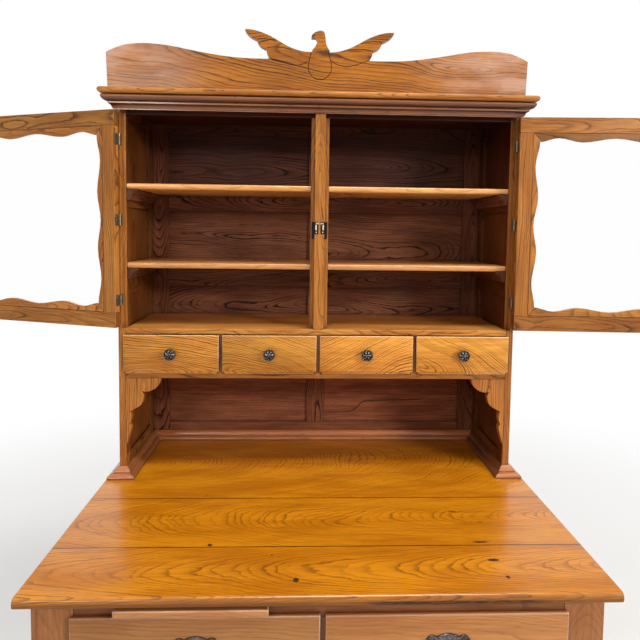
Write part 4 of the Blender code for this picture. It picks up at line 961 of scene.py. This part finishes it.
def stands_for(made, node):
    """A made piece takes a node's place."""
    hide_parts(node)


def boarded(node, material, member_of, planes=(), frame_matrix=HUTCH, smooth=WOOD_SMOOTH, gap=SEAM_HALF,
            shade_share=0.0, shape=None):
    """Stands for a node with a copy cut into its boards, with a fine seam where two of them meet."""
    shape = shape or cut_copy(node, planes, frame_matrix, gap)
    inverse = frame_matrix.inverted()
    members, shade_shares = [], []
    for face in shape.faces:
        centre = inverse @ face.calc_center_median()
        members.append(member_of(centre))
        # Each face's share of painted shade
        shade_shares.append(shade_share(centre, face.normal) if callable(shade_share) else shade_share)
    shape.faces.index_update()
    shape.verts.index_update()
    seams = []
    for vert in shape.verts:
        joint = planes and len({members[face.index] for face in vert.link_faces}) > 1
        # Joints between boards are marked dark, and so are the feet of the crest's grooves, as painted shade
        seams.append(float(bool(joint) or at_groove_foot(node, inverse @ vert.co)))
    for face in shape.faces:
        width = face.calc_area() / max(edge.calc_length() for edge in face.edges)
        if planes and width > SEAM_REACH * gap:
            for vert in face.verts:
                seams[vert.index] = 0.0
    made = put(f"{node}_boards", shape, material, body_of(node), smooth)
    give_boards(made.data, members, shade_shares, frame_matrix, node)
    layer = made.data.attributes.new("seam", "FLOAT", "POINT")
    layer.data.foreach_set("value", seams)
    stands_for(made, node)


def at_groove_foot(node, point):
    """Whether a point is in the foot of a groove carved in the crest, which is marked dark like a seam:
    painted shade.
    """
    return node == "crest_board" and abs(point.y - CREST_FRONT - GROOVE_DEPTH) < WELD


def front_edge_shade(point, normal):
    """Painted shade on the worktop's front edge, on its faces that look forward."""
    return EDGE_SHADE if normal.y < -EDGE_FACING else 0.0


def downward_face_shade(point, normal):
    """How much darker a moulding is where it faces down: painted shade on its downward faces."""
    return DOWNWARD_SHADE * max(0.0, -normal.z)


def inner_side_shade(point, normal):
    """Painted shade on the inner faces of the hutch's sides, deeper on the right side than on the left."""
    deep = point.y > (DOOR_THICK if abs(normal.x) > abs(normal.y) else FRONT_STILE)
    inside = deep and abs(point.x) < PIN[0] and point.x * normal.x <= 0
    return (RIGHT_SIDE_SHADE if point.x > 0 else LEFT_SIDE_SHADE) if inside else 0.0


def single(letter):
    return lambda point: ("board", letter)


def between(value, pair):
    return pair[0] <= value <= pair[1]


def panel_row(point, letter):
    """The row of panels that a point is in, or None and the rail that it is in."""
    row = next((k for k, pair in enumerate(PANEL_ROWS) if between(point.z, pair)), None)
    return row, (f"rail {sum(point.z > pair[0] for pair in PANEL_ROWS)}", letter)


def panelled_back(point):
    if abs(point.x) > INNER_HALF - BACK_STILE:
        return (f"stile {point.x > 0}", "Z")
    row, rail = panel_row(point, "X")
    if row is None:
        return rail
    if abs(point.x) < MUNTIN_HALF:
        return (f"muntin {row}", "Z")
    return (f"panel {row} {point.x > 0}", "X")


def panelled_side(point):
    if point.y < FRONT_STILE:
        return ("front stile", "Z")
    if point.y > BACK_FRONT - FRONT_STILE:
        return ("rear stile", "Z")
    row, rail = panel_row(point, "Y")
    return rail if row is None else (f"panel {row}", "Z")


def door_member(point):
    if point.z < DOOR_RISES[0] + DOOR_RAIL:
        return ("low rail", "X")
    if point.z > DOOR_RISES[1] - DOOR_RAIL:
        return ("top rail", "X")
    return (f"stile {point.x > DOOR_WIDTH / 2}", "Z")


def fillet_ring():
    """The outer edges of the fillet ring: left, right, low, high."""
    low_x, high_x = DOOR_EDGE + DOOR_STILE, DOOR_EDGE + DOOR_WIDTH - DOOR_STILE
    return low_x, high_x, DOOR_RISES[0] + DOOR_RAIL, DOOR_RISES[1] - DOOR_RAIL


def fillet_member(point):
    """The strip of the fillet ring, with mitres from the ring's corners."""
    low_x, high_x, low_z, high_z = fillet_ring()
    gaps = {"near": point.x - low_x, "far": high_x - point.x}
    gaps.update({"low": point.z - low_z, "high": high_z - point.z})
    strip = min(gaps, key=gaps.get)
    rim = " rim" if gaps[strip] < FILLET_RIM else ""
    return (strip + rim, "Z" if strip in ("near", "far") else "X")


def fillet_mitres():
    low_x, high_x, low_z, high_z = fillet_ring()
    planes = straight("X", low_x + FILLET_RIM, high_x - FILLET_RIM)
    planes += straight("Z", low_z + FILLET_RIM, high_z - FILLET_RIM)
    planes += [((low_x, 0, low_z), (1, 0, -1)), ((low_x, 0, high_z), (1, 0, 1))]
    return planes + [((high_x, 0, low_z), (1, 0, 1)), ((high_x, 0, high_z), (1, 0, -1))]


def front_frame_member(point):
    height = point.z + ORIGIN.z
    if abs(point.x) > CASE_STILE_INNER:
        return (f"leg {point.x > 0}", "Z")
    if abs(point.x) < CASE_MULLION_HALF and height < MIDDLE_RAIL[0]:
        return ("low muntin", "Z")
    if abs(point.x) < CASE_MULLION_HALF and between(height, (MIDDLE_RAIL[1], TOP_RAIL_FOOT)):
        return ("high muntin", "Z")
    return ("top rail" if height > TOP_RAIL_FOOT else "middle rail", "X")


def case_side_columns():
    near = CASE_FRONT + FRAME_THICK + CASE_FRONT_LEG
    far = REAR - CASE_REAR_LEG
    middle = (near + far) / 2
    return near, middle - CASE_MUNTIN / 2, middle + CASE_MUNTIN / 2, far


def case_side_member(point):
    near, one, two, far = case_side_columns()
    height = point.z + ORIGIN.z
    if abs(point.x) < CASE_HALF - FRAME_THICK - RUNNER_GAP:
        return ("runner", "Y")
    if point.y < near:
        return ("front leg", "Z")
    if point.y > far:
        return ("rear leg", "Z")
    if height < APRON_FOOT + CASE_RAIL:
        return ("low rail", "Y")
    if height > CASE_TOP - CASE_RAIL:
        return ("top rail", "Y")
    if between(point.y, (one, two)):
        return ("muntin", "Z")
    return (f"panel {point.y > two}", "Z")


def case_back_columns():
    """The half width of the back between the legs, and the width of one of its three panels."""
    half = CASE_HALF - FRAME_THICK - CASE_BACK_GAP
    return half, (2 * half - 4 * CASE_MUNTIN) / 3


def case_back_member(point):
    height = point.z + ORIGIN.z
    half, width = case_back_columns()
    if height < APRON_FOOT + CASE_RAIL:
        return ("low rail", "X")
    if height > CASE_TOP - CASE_RAIL:
        return ("top rail", "X")
    column, inside = divmod(point.x + half, width + CASE_MUNTIN)
    return (f"panel {column}", "Z") if inside > CASE_MUNTIN else (f"stile {column}", "Z")


def case_back_cuts():
    half, width = case_back_columns()
    starts = [k * (width + CASE_MUNTIN) - half for k in range(4)]
    return [place for start in starts for place in (start, start + CASE_MUNTIN)][1:-1]


def case_rail_cuts():
    return straight("Z", from_floor(APRON_FOOT + CASE_RAIL), from_floor(CASE_TOP - CASE_RAIL))


def run_member(point):
    """The length of a moulding that runs along the cabinet's front, sides or back."""
    post_middle = (INNER_HALF + OUTER_HALF) / 2
    if point.y > BACK_FRONT - BASE_BACK_DEPTH and abs(point.x) < INNER_HALF - (BACK_FRONT - point.y):
        return ("back", "X")
    if point.y < 0 and abs(abs(point.x) - post_middle) < BASE_FRONT_HALF - point.y:
        return (f"front {point.x > 0}", "X")
    return (f"side {point.x > 0} {abs(point.x) > post_middle}", "Y")


def cornice_member(point):
    if point.y < 0 and abs(point.x) < OUTER_HALF - point.y:
        return ("front", "X")
    return (f"side {point.x > 0}", "Y")


def cornice_mitres():
    return [((side * OUTER_HALF, 0, 0), (side, 1, 0)) for side in (-1, 1)]


def base_mitres():
    found = []
    for side in (-1, 1):
        found.append(((side * OUTER_HALF, 0, 0), (side, 1, 0)))
        found.append(((side * INNER_HALF, 0, 0), (side, -1, 0)))
        found.append(((side * INNER_HALF, BACK_FRONT, 0), (side, -1, 0)))
    return found


def worktop_member(point):
    return (f"board {sum(point.y > seam for seam in WORKTOP_SEAMS)}", "X")


def floor_member(point):
    if point.z < FLOOR_RISE:
        return ("board", "X")
    return (f"divider {round(point.x * 10)}", "Z")


def drawer_member(node):
    """Front, sides, back and bottom of a drawer or bin, told from the box's own extent."""
    low, high = (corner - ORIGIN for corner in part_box(node))

    def member(point):
        if point.y < low.y + DRAWER_FRONT:
            return ("front", "X")
        if min(point.x - low.x, high.x - point.x) < DRAWER_SIDE:
            return (f"side {point.x > (low.x + high.x) / 2}", "Y")
        return ("back", "X") if point.y > high.y - DRAWER_BACK else ("bottom", "Y")

    return member


def row_cuts():
    return straight("Z", *[edge for pair in PANEL_ROWS for edge in pair])


def dress_side(word):
    """The boards of one side of the cabinet, with its door, drawer and bin."""
    oak, plain = WOODS["oak"], WOODS["plain"]
    columns = straight("Y", FRONT_STILE, BACK_FRONT - FRONT_STILE)
    boarded(f"hutch_side_{word}", oak, panelled_side, columns + row_cuts(), shade_share=inner_side_shade)
    door = door_frame_matrix(word)
    rails = straight("Z", DOOR_RISES[0] + DOOR_RAIL, DOOR_RISES[1] - DOOR_RAIL)
    boarded(f"door_{word}_frame", oak, door_member, rails, door)
    boarded(f"door_{word}_fillet", oak, fillet_member, fillet_mitres(), door, FILLET_SMOOTH)
    cuts = straight("Y", *case_side_columns()) + case_rail_cuts()
    boarded(f"case_side_{word}", oak, case_side_member, cuts)
    boarded(f"bracket_{word}", oak, single("Z"))
    boarded(f"drawer_{word}", plain, drawer_member(f"drawer_{word}"))
    boarded(f"bin_{word}", plain, drawer_member(f"bin_{word}"), smooth=BIN_SMOOTH)
    # The cleats take the inside wood: painted shade
    for level in ("upper", "lower"):
        boarded(f"cleat_{level}_{word}", WOODS["inside"], single("Y"))


def dress_boards():
    for word in SIDES:
        dress_side(word)
    columns = (BACK_STILE - INNER_HALF, -MUNTIN_HALF, MUNTIN_HALF, INNER_HALF - BACK_STILE)
    # The back takes the inside wood: painted shade, deepening towards the top
    boarded("hutch_back", WOODS["inside"], panelled_back, straight("X", *columns) + row_cuts())
    boarded("cornice_moulding", WOODS["moulding"], cornice_member, cornice_mitres(), shade_share=downward_face_shade)
    boarded("base_moulding", WOODS["moulding"], run_member, base_mitres())
    seams = straight("Y", *WORKTOP_SEAMS)
    boarded("worktop", WOODS["top"], worktop_member, seams, gap=TOP_SEAM_HALF, shade_share=front_edge_shade)
    heights = [from_floor(height) for height in (TOP_RAIL_FOOT, *MIDDLE_RAIL)]
    widths = (-CASE_STILE_INNER, -CASE_MULLION_HALF, CASE_MULLION_HALF, CASE_STILE_INNER)
    cuts = straight("X", *widths) + straight("Z", *heights)
    boarded("face_frame", WOODS["leg"], front_frame_member, cuts)
    boarded("case_back", WOODS["oak"], case_back_member, straight("X", *case_back_cuts()) + case_rail_cuts())
    boarded("drawer_floor", WOODS["oak"], floor_member, straight("Z", FLOOR_RISE))
    for node, (kind, letter) in SINGLE_BOARDS.items():
        boarded(node, WOODS[kind], single(letter))
    for index in SMALL_DRAWERS:
        boarded(f"small_drawer_{index}", WOODS["front"], drawer_member(f"small_drawer_{index}"))


# Carving, cracks and metalwork


def smoothed(points, steps=4):
    """Points of a smooth curve through the given ones."""
    ends = [points[0], *points, points[-1]]
    found = []
    for before, one, two, after in zip(ends, ends[1:], ends[2:], ends[3:]):
        for step in range(steps):
            t = step / steps
            found.append([
                one[k] + t * (two[k] - before[k] + t * (2 * before[k] - 5 * one[k] + 4 * two[k] - after[k]
                + t * (3 * one[k] - 3 * two[k] + after[k] - before[k]))) / 2
                for k in range(2)
            ])
    return [Vector(point) for point in (*found, points[-1])]


def loft(shape, rings, material=0):
    """Adds a closed solid skinned over rings of points."""
    rows = [[shape.verts.new(point) for point in ring] for ring in rings]
    faces = [shape.faces.new(rows[0][::-1]), shape.faces.new(rows[-1])]
    for one, two in zip(rows, rows[1:]):
        for index, vert in enumerate(one):
            after = (index + 1) % len(one)
            faces.append(shape.faces.new((vert, one[after], two[after], two[index])))
    for face in faces:
        face.material_index = material
    bmesh.ops.recalc_face_normals(shape, faces=faces)


def way_along(line, index):
    """The direction of a line of points at one of them."""
    return (line[min(index + 1, len(line) - 1)] - line[max(index - 1, 0)]).normalized()


def vee(shape, line, half, depth, face, over):
    """Adds a V-shaped prism along a line (across, up), point down into a front face, its ends drawn fine."""
    rings = []
    for index, point in enumerate(line):
        way = way_along(line, index)
        side = Vector((-way.y, way.x)) * half * (1 + over / depth)
        if index in (0, len(line) - 1):
            side *= FINE_END_SHARE
        one, two, top = point - side, point + side, face - over
        rings.append([(one.x, top, one.y), (two.x, top, two.y), (point.x, face + depth, point.y)])
    loft(shape, [[ORIGIN + Vector(corner) for corner in ring] for ring in rings])


def carved(blank, tool):
    """The shape left of a blank when the tool is taken out of it. Both objects go."""
    change = blank.modifiers.new("carve", "BOOLEAN")
    change.operation, change.object = "DIFFERENCE", tool
    change.solver, change.use_self = "EXACT", True
    shape = bmesh.new()
    shape.from_object(blank, bpy.context.evaluated_depsgraph_get())
    for used in (blank, tool):
        bpy.data.objects.remove(used)
    return shape


def carved_crest():
    """The crest board with the eagle's body, wings and feathers outlined by carved grooves."""
    board = loose("crest_blank", cut_copy("crest_board", (), HUTCH, 0))
    cutter = bmesh.new()
    for half, points in EAGLE_LINES:
        line = smoothed([(across + CREST_MIDDLE, up + LEDGE_RISE) for across, up in points])
        vee(cutter, line, half, GROOVE_DEPTH, CREST_FRONT, GROOVE_OVER)
    shape = carved(board, loose("crest_tool", cutter))
    boarded("crest_board", WOODS["crest"], single("X"), shape=shape)


def cracks():
    """The split in the niche's right-hand panel: a dark strip of grime and painted shade."""
    shape = bmesh.new()
    line = smoothed(NICHE_CRACK)
    vee(shape, line, CRACK_HALF, CRACK_HALF, PANEL_FACE - CRACK_HALF / 2, CRACK_HALF / 4)
    put("niche_crack", shape, GRIME_AND_SHADE, "cabinet")


def turned(shape, profile, place, way, sides=BARREL_SIDES, material=0):
    """Adds a round solid, (along, radius) pairs, about the way through a place."""
    turn = Vector(way).to_track_quat("Z", "Y").to_matrix()
    rings = []
    for along, radius in profile:
        angles = [math.tau * side / sides for side in range(sides)]
        ring = [Vector((radius * math.cos(angle), radius * math.sin(angle), along)) for angle in angles]
        rings.append([Vector(place) + turn @ point for point in ring])
    loft(shape, rings, material)


def inset(outline, amount):
    """An outline moved in by an amount, for outlines that run anticlockwise."""
    found = []
    for index, point in enumerate(outline):
        before, after = Vector(outline[index - 1]), Vector(outline[(index + 1) % len(outline)])
        way = (after - before).normalized()
        found.append(Vector(point) + Vector((-way.y, way.x)) * amount)
    return found


def slab(shape, outline, levels, place, material=0):
    """Adds a plate: an outline drawn at (height, inset) levels and set in place by a function."""
    rings = [[place(*point, height) for point in inset(outline, amount)] for height, amount in levels]
    loft(shape, rings, material)


def screw(shape, place, way, radius, proud, angle):
    """Adds a slotted screw head over a dark slot, whose floor is grime and painted shade."""
    turn = Matrix.Rotation(angle, 3, way) @ Vector(way).to_track_quat("Z", "Y").to_matrix()
    for half in (0, math.pi):
        rings = []
        for height_share, radius_share in SCREW_LEVEL_SHARES:
            reach = radius * radius_share
            start = math.asin(radius * SLOT_SHARE / reach)
            span = math.pi - 2 * start
            angles = [half + start + span * step / SCREW_STEPS for step in range(SCREW_STEPS + 1)]
            ring = [Vector((reach * math.cos(a), reach * math.sin(a), proud * height_share)) for a in angles]
            rings.append([Vector(place) + turn @ point for point in ring])
        loft(shape, rings, 2)
    floor_reach = radius * SLOT_FLOOR_REACH
    floor = ((0, floor_reach), (proud * SLOT_FLOOR_SHARE, floor_reach))
    turned(shape, floor, place, way, SLOT_FLOOR_SIDES, 1)


def hinge_leaf(shape, place, angles):
    """A leaf with its three screws: place takes (through the door's edge, height over the middle, proud)."""
    low, high = HINGE_LEAF_DEPTHS
    half = HINGE_HALF - LEAF_CHAMFER
    outline = [(low, -half), (high, -half), (high, half), (low, half)]
    levels = ((-HINGE_LEAF, 0), (-LEAF_CHAMFER, 0), (-LEAF_SINK, LEAF_CHAMFER))
    slab(shape, outline, levels, place)
    way = (place(0, 0, 1) - place(0, 0, 0)).normalized()
    for share, height, angle in zip(LEAF_SCREW_SHARES, LEAF_SCREW_HEIGHTS, angles):
        spot = place(low + (high - low) * share, height, -LEAF_SINK)
        screw(shape, spot, way, LEAF_SCREW, LEAF_SINK * LEAF_SCREW_PROUD_SHARE, angle)


def hinges():
    """Butt hinges: the knuckled barrel and one leaf on the case, the other leaf on the door's edge."""
    knuckle = 2 * HINGE_HALF / KNUCKLES
    profile = []
    for index in range(KNUCKLES):
        low, high = index * knuckle - HINGE_HALF, (index + 1) * knuckle - HINGE_HALF
        profile += [(low, BARREL_NECK), (low + KNUCKLE_EDGE, HINGE_BARREL)]
        profile += [(high - KNUCKLE_EDGE, HINGE_BARREL), (high, BARREL_NECK)]
    dice = random.Random(HINGE_SEED)
    for word, side in SIDES.items():
        door = door_frame_matrix(word)
        for level, rise in HINGE_RISES.items():
            shape = bmesh.new()
            turned(shape, profile, ORIGIN + Vector((side * PIN[0], PIN[1], rise)), (0, 0, 1))

            def on_case(across, up, proud):
                return ORIGIN + Vector((side * (PIN[0] - proud), PIN[1] + across, rise + up))

            def on_door(across, up, proud):
                return door @ Vector((-proud, across, rise + up))

            hinge_leaf(shape, on_case, [dice.uniform(0, math.pi) for _ in range(3)])
            node, brass, body = f"hinge_{level}_{word}", METALS["brass"], body_of(f"door_{word}_frame")
            made = put(f"{node}_case", shape, brass, "cabinet", FITTING_SMOOTH, FASTENERS)
            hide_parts(node)
            shape = bmesh.new()
            hinge_leaf(shape, on_door, [dice.uniform(0, math.pi) for _ in range(3)])
            put(f"{node}_door", shape, brass, body, FITTING_SMOOTH, FASTENERS)


def catches():
    """The bent catch plates, shorter in front than in the rebate, with screws, lever and strike hole."""
    forward = Vector((0, -1, 0))
    for word, side in SIDES.items():
        node = f"catch_{word}"
        blank = loose(f"{node}_blank", cut_copy(node, (), HUTCH, 0))
        tool = bmesh.new()
        bmesh.ops.create_cube(tool, size=1)
        corners = [sorted(side * edge for edge in CATCH_CUT_X), CATCH_CUT_Y, CATCH_CUT_RISES]
        for vert in tool.verts:
            vert.co = ORIGIN + Vector([pair[int(vert.co[k] > 0)] for k, pair in enumerate(corners)])
        plate = carved(blank, loose(f"{node}_tool", tool))
        stands_for(put(f"{node}_plate", plate, METALS["nickel"], "cabinet", FITTING_SMOOTH), node)

        def on_plate(over, up, proud):
            return ORIGIN + Vector((over, CATCH_FACE - proud, up))

        shape = bmesh.new()
        across = side * CATCH_SCREW_X
        for height in CATCH_SCREW_RISES:
            spot = on_plate(across, height, 0)
            screw(shape, spot, forward, CATCH_SCREW, CATCH_SCREW / 2, CATCH_SCREW_TURN)
        half, (low, high) = LEVER_HALF, LEVER_RISES
        middle = across + side * half / 2
        lever = [(middle - half, low), (middle + half, low), (middle + half, high)]
        lever += [(middle, high + half), (middle - half, high)]
        slab(shape, lever, ((0, 0), (LEVER_PROUD, 0), (LEVER_PROUD + LEVER_EDGE, LEVER_EDGE)), on_plate)
        # The strike hole: a dark disc of painted shade
        hole = ((0, half), (LEVER_EDGE, half))
        turned(shape, hole, on_plate(side * STRIKE_X, STRIKE_RISE, 0), forward, STRIKE_SIDES, 1)
        put(f"{node}_works", shape, METALS["screw"], "cabinet", FITTING_SMOOTH, FASTENERS)


def knob_face(radius, top):
    """Rings of a knob's face from its rim in: reach, height and how much of the petals' relief is there."""
    petal_start, petal_width = KNOB_PETAL_SHARES
    boss_share, boss_height = KNOB_BOSS
    face = []
    for step in range(KNOB_STEPS):
        share = KNOB_FACE_SHARE - KNOB_FACE_SHARE * step / KNOB_STEPS
        dish = KNOB_DISH[0] + KNOB_DISH[1] * math.cos(math.pi * share / KNOB_FACE_SHARE)
        petal = 0.0
        if share > petal_start:
            petal = max(0.0, math.sin(math.pi * (share - petal_start) / petal_width)) ** PETAL_POWER
        boss = max(0.0, 1 - (share / boss_share) ** 2)
        face.append((share * radius, (dish + boss_height * boss) * top, petal))
    return face


def rosette(shape, place, radius, top):
    """Adds a cast knob: its turned back, a rolled rim, and petals round a boss."""
    sides = KNOB_PETALS * KNOB_PETAL_SIDES
    back = [(share * radius, along * top, 0.0) for share, along in KNOB_BACK]
    points = []
    for reach, along, petal in back + knob_face(radius, top):
        ring = []
        for side in range(sides):
            angle = math.tau * side / sides
            twist = KNOB_TWIST * (reach / radius - 0.5)
            wave = abs(math.cos(KNOB_PETALS * angle / 2 + twist)) ** PETAL_POWER
            out = along + top * petal * (KNOB_WAVE[0] * wave - KNOB_WAVE[1])
            ring.append(Vector(place) + Vector((reach * math.cos(angle), -out, reach * math.sin(angle))))
        points.append(ring)
    loft(shape, points)


def cast(node, shape):
    """A cast fitting of dark pewter in the place of its node."""
    stands_for(put(f"{node}_cast", shape, METALS["pewter"], body_of(node), CAST_SMOOTH), node)


def knobs():
    for index in SMALL_DRAWERS:
        node = f"small_knob_{index}"
        low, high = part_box(node)
        place = ((low.x + high.x) / 2, high.y, (low.z + high.z) / 2)
        shape = bmesh.new()
        rosette(shape, place, (high.x - low.x) / 2, high.y - low.y)
        cast(node, shape)


def level_at(outline, across):
    """The height of an outline, (across, height) pairs from the middle out, at a distance across."""
    for one, two in zip(outline, outline[1:]):
        if one[0] <= across <= two[0]:
            return one[1] + (two[1] - one[1]) * (across - one[0]) / (two[0] - one[0])
    return outline[-1][1]


def pressed_relief(across, height, low, high):
    """How far the pull's plate stands out: a rolled border, a fan of leaves and a scroll at each end."""
    edge = min(high - height, height - low, PULL_TOP[-1][0] - abs(across))
    border = math.exp(-(((edge - PULL_BORDER) / (PULL_BORDER * PULL_BORDER_SOFT)) ** 2))
    inside = min(1.0, max(0.0, edge / PULL_BORDER - PULL_INSIDE_START))
    angle, reach = math.atan2(height + PULL_FAN, abs(across)), math.hypot(across, height + PULL_FAN)
    rib = PULL_RIB_SHARES[0] + PULL_RIB_SHARES[1] * math.cos(reach * PULL_RIBS)
    fan = abs(math.cos(PULL_LEAVES * angle)) ** PETAL_POWER * rib
    from_x, from_z = abs(across) - PULL_SCROLL[0], height - PULL_SCROLL[1]
    end = math.hypot(from_x, from_z)
    scroll = 0.5 + 0.5 * math.cos(end * PULL_SCROLL_RIBS - math.atan2(from_z, from_x))
    leaf = scroll if end < PULL_SCROLL_REACH else fan
    return PULL_SHEET + PULL_RELIEF * max(border, leaf * inside)


def pull_plates():
    """Cast plates with a scrolled outline, leaves in relief and two posts for the bail."""
    columns, rows = PULL_GRID
    for word in SIDES:
        node = f"pull_plate_{word}"
        low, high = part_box(node)
        place = Vector(((low.x + high.x) / 2, high.y, ORIGIN.z + PULL_RISE))
        shape = bmesh.new()
        front = []
        for column in range(columns + 1):
            across = PULL_TOP[-1][0] * (2 * column / columns - 1)
            foot, head = level_at(PULL_FOOT, abs(across)), level_at(PULL_TOP, abs(across))
            line = []
            for row in range(rows + 1):
                height = foot + (head - foot) * row / rows
                out = pressed_relief(across, height, foot, head)
                vert = shape.verts.new(place + Vector((across, -out, height)))
                line.append((vert, Vector((across, 0, height))))
            front.append(line)
        for one, two in zip(front, front[1:]):
            for row in range(rows):
                shape.faces.new((one[row][0], two[row][0], two[row + 1][0], one[row + 1][0]))
        rim = [line[0] for line in front] + front[-1][1:]
        rim += [line[-1] for line in front[-2::-1]] + front[0][-2:0:-1]
        back = [shape.verts.new(place + flat) for _, flat in rim]
        for index, (vert, _) in enumerate(rim):
            after = (index + 1) % len(rim)
            shape.faces.new((vert, back[index], back[after], rim[after][0]))
        shape.faces.new(back)
        bmesh.ops.recalc_face_normals(shape, faces=shape.faces)
        for side in (-1, 1):
            post = place + Vector((side * PULL_POST_X, 0, -PULL_PIVOT_DROP))
            turned(shape, PULL_POST, post, (0, -1, 0))
        cast(node, shape)


def bails():
    """The swinging handles: a bent rod that swells into turned beads at its middle."""
    for word in SIDES:
        node = f"pull_bail_{word}"
        low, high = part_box(node)
        place = Vector(((low.x + high.x) / 2, (low.y + high.y) / 2, high.z - BAIL_ROD))
        half, drop = (high.x - low.x) / 2 - BAIL_ROD, high.z - low.z - 2 * BAIL_ROD
        bend, cut_corner = BAIL_LOW_BEND, BAIL_LOW_BEND * BAIL_BEND_SHARE
        path = [(BAIL_END, 0), (half - BAIL_TOP_BEND, 0), (half, -BAIL_TOP_BEND), (half, bend - drop)]
        path += [(half - cut_corner, cut_corner - drop), (half - bend, -drop), (0, -drop)]
        right = smoothed(path, BAIL_STEPS)
        line = right + [Vector((-point.x, point.y)) for point in right[-2::-1]]
        rings = []
        for index, point in enumerate(line):
            way = way_along(line, index)
            radius = BAIL_ROD
            if point.y < bend - drop:
                swell = BAIL_SWELL * math.exp(-((point.x / BAIL_BEAD_REACH) ** 2))
                radius += abs(math.cos(point.x * BAIL_BEADS)) * swell
            ring = []
            for side in range(BAIL_SIDES):
                angle = math.tau * side / BAIL_SIDES
                across, out = radius * math.cos(angle), radius * math.sin(angle)
                ring.append(place + Vector((point.x - way.y * across, out, point.y + way.x * across)))
            rings.append(ring)
        shape = bmesh.new()
        loft(shape, rings)
        cast(node, shape)


def dress_metal():
    kinds = {**METALS, "glass": GLASS}
    for name, node in frame["nodes"].items():
        slot = slot_of(name)
        if slot in kinds:
            node.data.materials.clear()
            node.data.materials.append(kinds[slot])


# Light, floor and camera


def seen_by_camera(nodes, links):
    """1 for rays that look at the background: from the camera, or by way of gloss or glass."""
    path = nodes.new("ShaderNodeLightPath")
    found = path.outputs["Is Camera Ray"]
    for name in ("Is Glossy Ray", "Is Transmission Ray"):
        either = nodes.new("ShaderNodeMath")
        either.operation = "MAXIMUM"
        links.new(found, either.inputs[0])
        links.new(path.outputs[name], either.inputs[1])
        found = either.outputs[0]
    return found


def studio_world():
    """A world that looks white and lights the object softly."""
    world = bpy.data.worlds.new("studio")
    bpy.context.scene.world = world
    world.use_nodes = True
    nodes, links = world.node_tree.nodes, world.node_tree.links
    seen = nodes["Background"]
    seen.inputs["Color"].default_value = rgb(1, 1, 1)
    seen.inputs["Strength"].default_value = 1.0
    light = nodes.new("ShaderNodeBackground")
    light.inputs["Color"].default_value = WORLD_COLOUR
    light.inputs["Strength"].default_value = WORLD_LIGHT
    mix = nodes.new("ShaderNodeMixShader")
    links.new(seen_by_camera(nodes, links), mix.inputs[0])
    links.new(light.outputs[0], mix.inputs[1])
    links.new(seen.outputs[0], mix.inputs[2])
    links.new(mix.outputs[0], nodes["World Output"].inputs["Surface"])


def studio_floor():
    """A pale floor that takes the shadow and fades into the white world far away."""
    shape = bmesh.new()
    bmesh.ops.create_grid(shape, x_segments=1, y_segments=1, size=FLOOR_HALF)
    floor = loose("floor", shape)
    net = Net("floor")
    place = net.put("TexCoord", {}, "Object")
    tint = net.blend(net.noise(place, FLOOR_TINT_SCALE), *FLOOR_TINTS)
    net.set(Base_Color=tint, Roughness=FLOOR_ROUGH, Specular_IOR_Level=FLOOR_GLOSS)
    away = net.vector("LENGTH", place)
    white = net.times(net.span(away, *FLOOR_FADE), seen_by_camera(net.nodes, net.links))
    glow = net.put("Emission", {"Color": rgb(1, 1, 1), "Strength": 1.0})
    mixed = net.put("MixShader", {0: white, 1: net.shader.outputs[0], 2: glow})
    net.links.new(mixed, net.nodes["Material Output"].inputs["Surface"])
    floor.data.materials.append(net.material)
    floor.location.z = -FLOOR_GAP


def lamps():
    """A long ceiling tube a little in front, two lamps behind the camera and one behind the cabinet."""
    for name, (place, target, size, power) in LAMPS.items():
        data = bpy.data.lights.new(name, "AREA")
        data.shape = "RECTANGLE"
        data.size, data.size_y = size
        data.energy = power
        data.color = LAMP_COLOUR
        made = linked(name, data)
        made.location = place
        made.rotation_mode = "QUATERNION"
        made.rotation_quaternion = (Vector(target) - Vector(place)).to_track_quat("-Z", "Y")


def camera():
    """The camera that took the photograph, fitted to the cabinet's own edges."""
    forward = Vector((math.sin(YAW) * math.cos(PITCH), math.cos(YAW) * math.cos(PITCH), -math.sin(PITCH)))
    level = Vector((math.cos(YAW), -math.sin(YAW), 0))
    down = forward.cross(level)
    right = level * math.cos(ROLL) + down * math.sin(ROLL)
    down = down * math.cos(ROLL) - level * math.sin(ROLL)
    data = bpy.data.cameras.new("camera")
    data.sensor_width = SENSOR
    data.lens = FOCAL_PIXELS / PICTURE * SENSOR
    data.shift_x = (PICTURE / 2 - CENTRE_PIXEL[0]) / PICTURE
    data.shift_y = (CENTRE_PIXEL[1] - PICTURE / 2) / PICTURE
    data.clip_start = CLIP_START
    made = linked("camera", data)
    turn = Matrix((right, -down, -forward)).transposed().to_4x4()
    made.matrix_world = Matrix.Translation(ORIGIN + Vector(CAMERA_PLACE)) @ turn
    bpy.context.scene.camera = made


dress_boards()
carved_crest()
cracks()
dress_metal()
hinges()
catches()
knobs()
pull_plates()
bails()
studio_world()
studio_floor()
lamps()
camera()
bpy.context.scene.view_settings.view_transform = "Standard"
